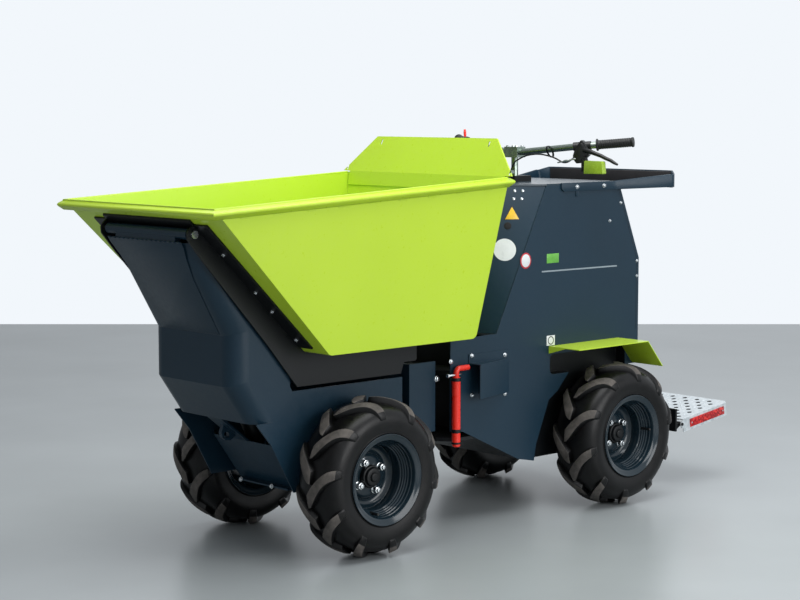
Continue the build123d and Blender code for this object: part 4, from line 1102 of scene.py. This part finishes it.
# %% [markdown]
# ## Guard rail
# The rail is a flat bar bent cold round a former, so its corners have a radius of a few
# centimetres. The frame's rail has straight runs that meet at an edge, so a merged copy has those
# upright edges selected by their direction and rolled with a bevel. The bar is also cut narrower
# round its two rear corners, most of all from above. The driver leans against it, so a strip of
# foam rubber is stuck to the inside of its rear run.

# %% Bent rail
rail = copy_of("guard_rail")
behind = at(-1240, 0, 0).x


def upright(e):
    """Whether an edge is an upright corner of the rail's rear part."""
    run = e.verts[1].co - e.verts[0].co
    rear = e.verts[0].co.x < behind
    return rear and abs(run.z) > 0.9 * run.length and e.calc_face_angle() > radians(8)


found = roll_edges(rail, upright, 0.016, 5)
rounded(rail, 0.0012, 60)
corner_x, corner_y = at(-1487, 0, 0).x, 0.346
mid_height = at(0, 0, 1150).z
REACH = 0.045           # the corners narrow within this distance, in metres
for v in rail.data.vertices:
    away = hypot((v.co.x - corner_x) / REACH, (abs(v.co.y) - corner_y) / REACH)
    v.co.z -= (0.014 if v.co.z > mid_height else -0.006) * max(0.0, 1 - away) ** 0.7
settle(rail, "bent_guard_rail", slate, "rear", 40)
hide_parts("guard_rail")
print("rolled", found, "edges of the rail, faces:", len(rail.data.polygons))

# %% Back pad
pad = plate(card(604, 49), 9, frame_at(at(-1522.3, 0, 1152), FORWARD), 3.5)
settle(pad, "back_pad", foam_rubber, "rear", 50)
print("back pad faces:", len(pad.data.polygons))

# %% [markdown]
# ## Transport lock
# The red bar locks the centre joint on the lorry. Here it is parked in its clips: two dark bands
# hold it, a ring sits at its lower end, and a zinc pin goes through it.

# %% Transport lock
LOCK_X, LOCK_Y = -447.0, 265.5
bands = []
for z, tall, r in ((505, 13, 15.4), (330, 13, 15.4), (289, 7, 17.0)):
    edge = tall / 2
    ring = spun("band", [(-edge, 14.0), (-edge + 0.8, r), (edge - 0.8, r), (edge, 14.0)], 36)
    ring.data.transform(
        Matrix.Translation(at(LOCK_X, LOCK_Y, z)) @ Matrix.Rotation(radians(90), 4, "X"))
    bands.append(ring)
settle(join(bands), "lock_bands", black, "rear")
shank = pin(at(-470, LOCK_Y, 520), at(-408, LOCK_Y, 520), 8)
head = pin(at(-412, LOCK_Y, 520), at(-405, LOCK_Y, 520), 14, 1.5)
settle(join([shank, head]), "lock_pin", bolt_zinc, "rear")
print("lock fittings done")

# %% [markdown]
# ## Floor, light and camera
# A plain grey floor ends where the studio wall would begin, and the world behind it is white. The
# world shows at full strength, lights the machine at half, and is mirrored more dimly towards the
# nose, where the studio is darker. One large soft lamp hangs over the machine and a second one
# lights its left side.

# %% Stage
HEADING = 42.74         # degrees between the camera's line of sight and the machine's width
TILT = 5.9              # degrees that the camera looks down
CAMERA = at(3950, 4746, 1421)
FLOOR_RUN = 12.3        # from the camera to the floor's far edge, in metres
FLOOR_WIDE, FLOOR_DEEP = 30, 34
away = Vector((-sin(radians(HEADING)), -cos(radians(HEADING)), 0))
across = Vector((-away.y, away.x, 0)) * FLOOR_WIDE
far = Vector((CAMERA.x, CAMERA.y, 0)) + away * FLOOR_RUN
near = far - away * FLOOR_DEEP
floor = drawn("studio_floor", [far - across, far + across, near + across, near - across],
              faces=[(0, 1, 2, 3)])
if floor.data.polygons[0].normal.z < 0:
    floor.data.flip_normals()
m, tree, shader, where = blank("smooth_concrete")
stain = noise(tree, where, 900, 4.0)
tree.links.new(ramp(tree, stain, [(0.3, "999FA1"), (0.7, "A4AAAC")]), shader.inputs["Base Color"])
shader.inputs["Roughness"].default_value = 0.30
floor.data.materials.append(m)

DARK_SIDE = (0.76, -0.65, -0.1)
world = bpy.data.worlds.new("studio")
bpy.context.scene.world = world
world.use_nodes = True
wt = world.node_tree
back = wt.nodes["Background"]
back.inputs["Color"].default_value = ink("F2F7FC")
path = add(wt, "ShaderNodeLightPath").outputs
camera_ray, glossy_ray = path["Is Camera Ray"], path["Is Glossy Ray"]
ray = add(wt, "ShaderNodeTexCoord").outputs["Generated"]
toward = add(wt, "ShaderNodeVectorMath", {"operation": "DOT_PRODUCT"},
             i0=ray, i1=DARK_SIDE).outputs["Value"]
mirrored = maths(wt, "MULTIPLY", glossy_ray, span(wt, toward, -0.15, 0.55, 1.0, 0.30))
seen = maths(wt, "MAXIMUM", camera_ray, glossy_ray)
lighting = span(wt, seen, 0.0, 1.0, 0.50, 0.0)
strength = maths(wt, "MAXIMUM", maths(wt, "MAXIMUM", mirrored, camera_ray), lighting)
wt.links.new(strength, back.inputs["Strength"])


def lamp(name, place, target, size, watts):
    """A rectangular soft lamp that faces a point."""
    data = bpy.data.lights.new(name, "AREA")
    data.shape = "RECTANGLE"
    data.size, data.size_y = size
    data.energy = watts
    o = placed(name, data)
    o.location = place
    o.rotation_euler = (Vector(target) - Vector(place)).to_track_quat("-Z", "Y").to_euler()
    return o


lamp("roof_softbox", (0.3, 0.7, 3.7), (0, 0, 0.4), (3.4, 2.8), 116)
lamp("side_softbox", (-0.4, 4.6, 1.7), (0, 0, 0.7), (3.6, 2.2), 105)

camera = bpy.data.cameras.new("camera")
camera.lens = 85.05
camera.sensor_width = 36
eye = placed("camera", camera)
eye.location = CAMERA
eye.rotation_euler = (radians(90 - TILT), 0, radians(180 - HEADING))
bpy.context.scene.camera = eye
bpy.context.scene.view_settings.view_transform = "Standard"
print("stage: floor, 2 lamps and a", camera.lens, "mm camera")

# %% Finish
for o in (bolt, wheel_nut):
    bpy.data.objects.remove(o)
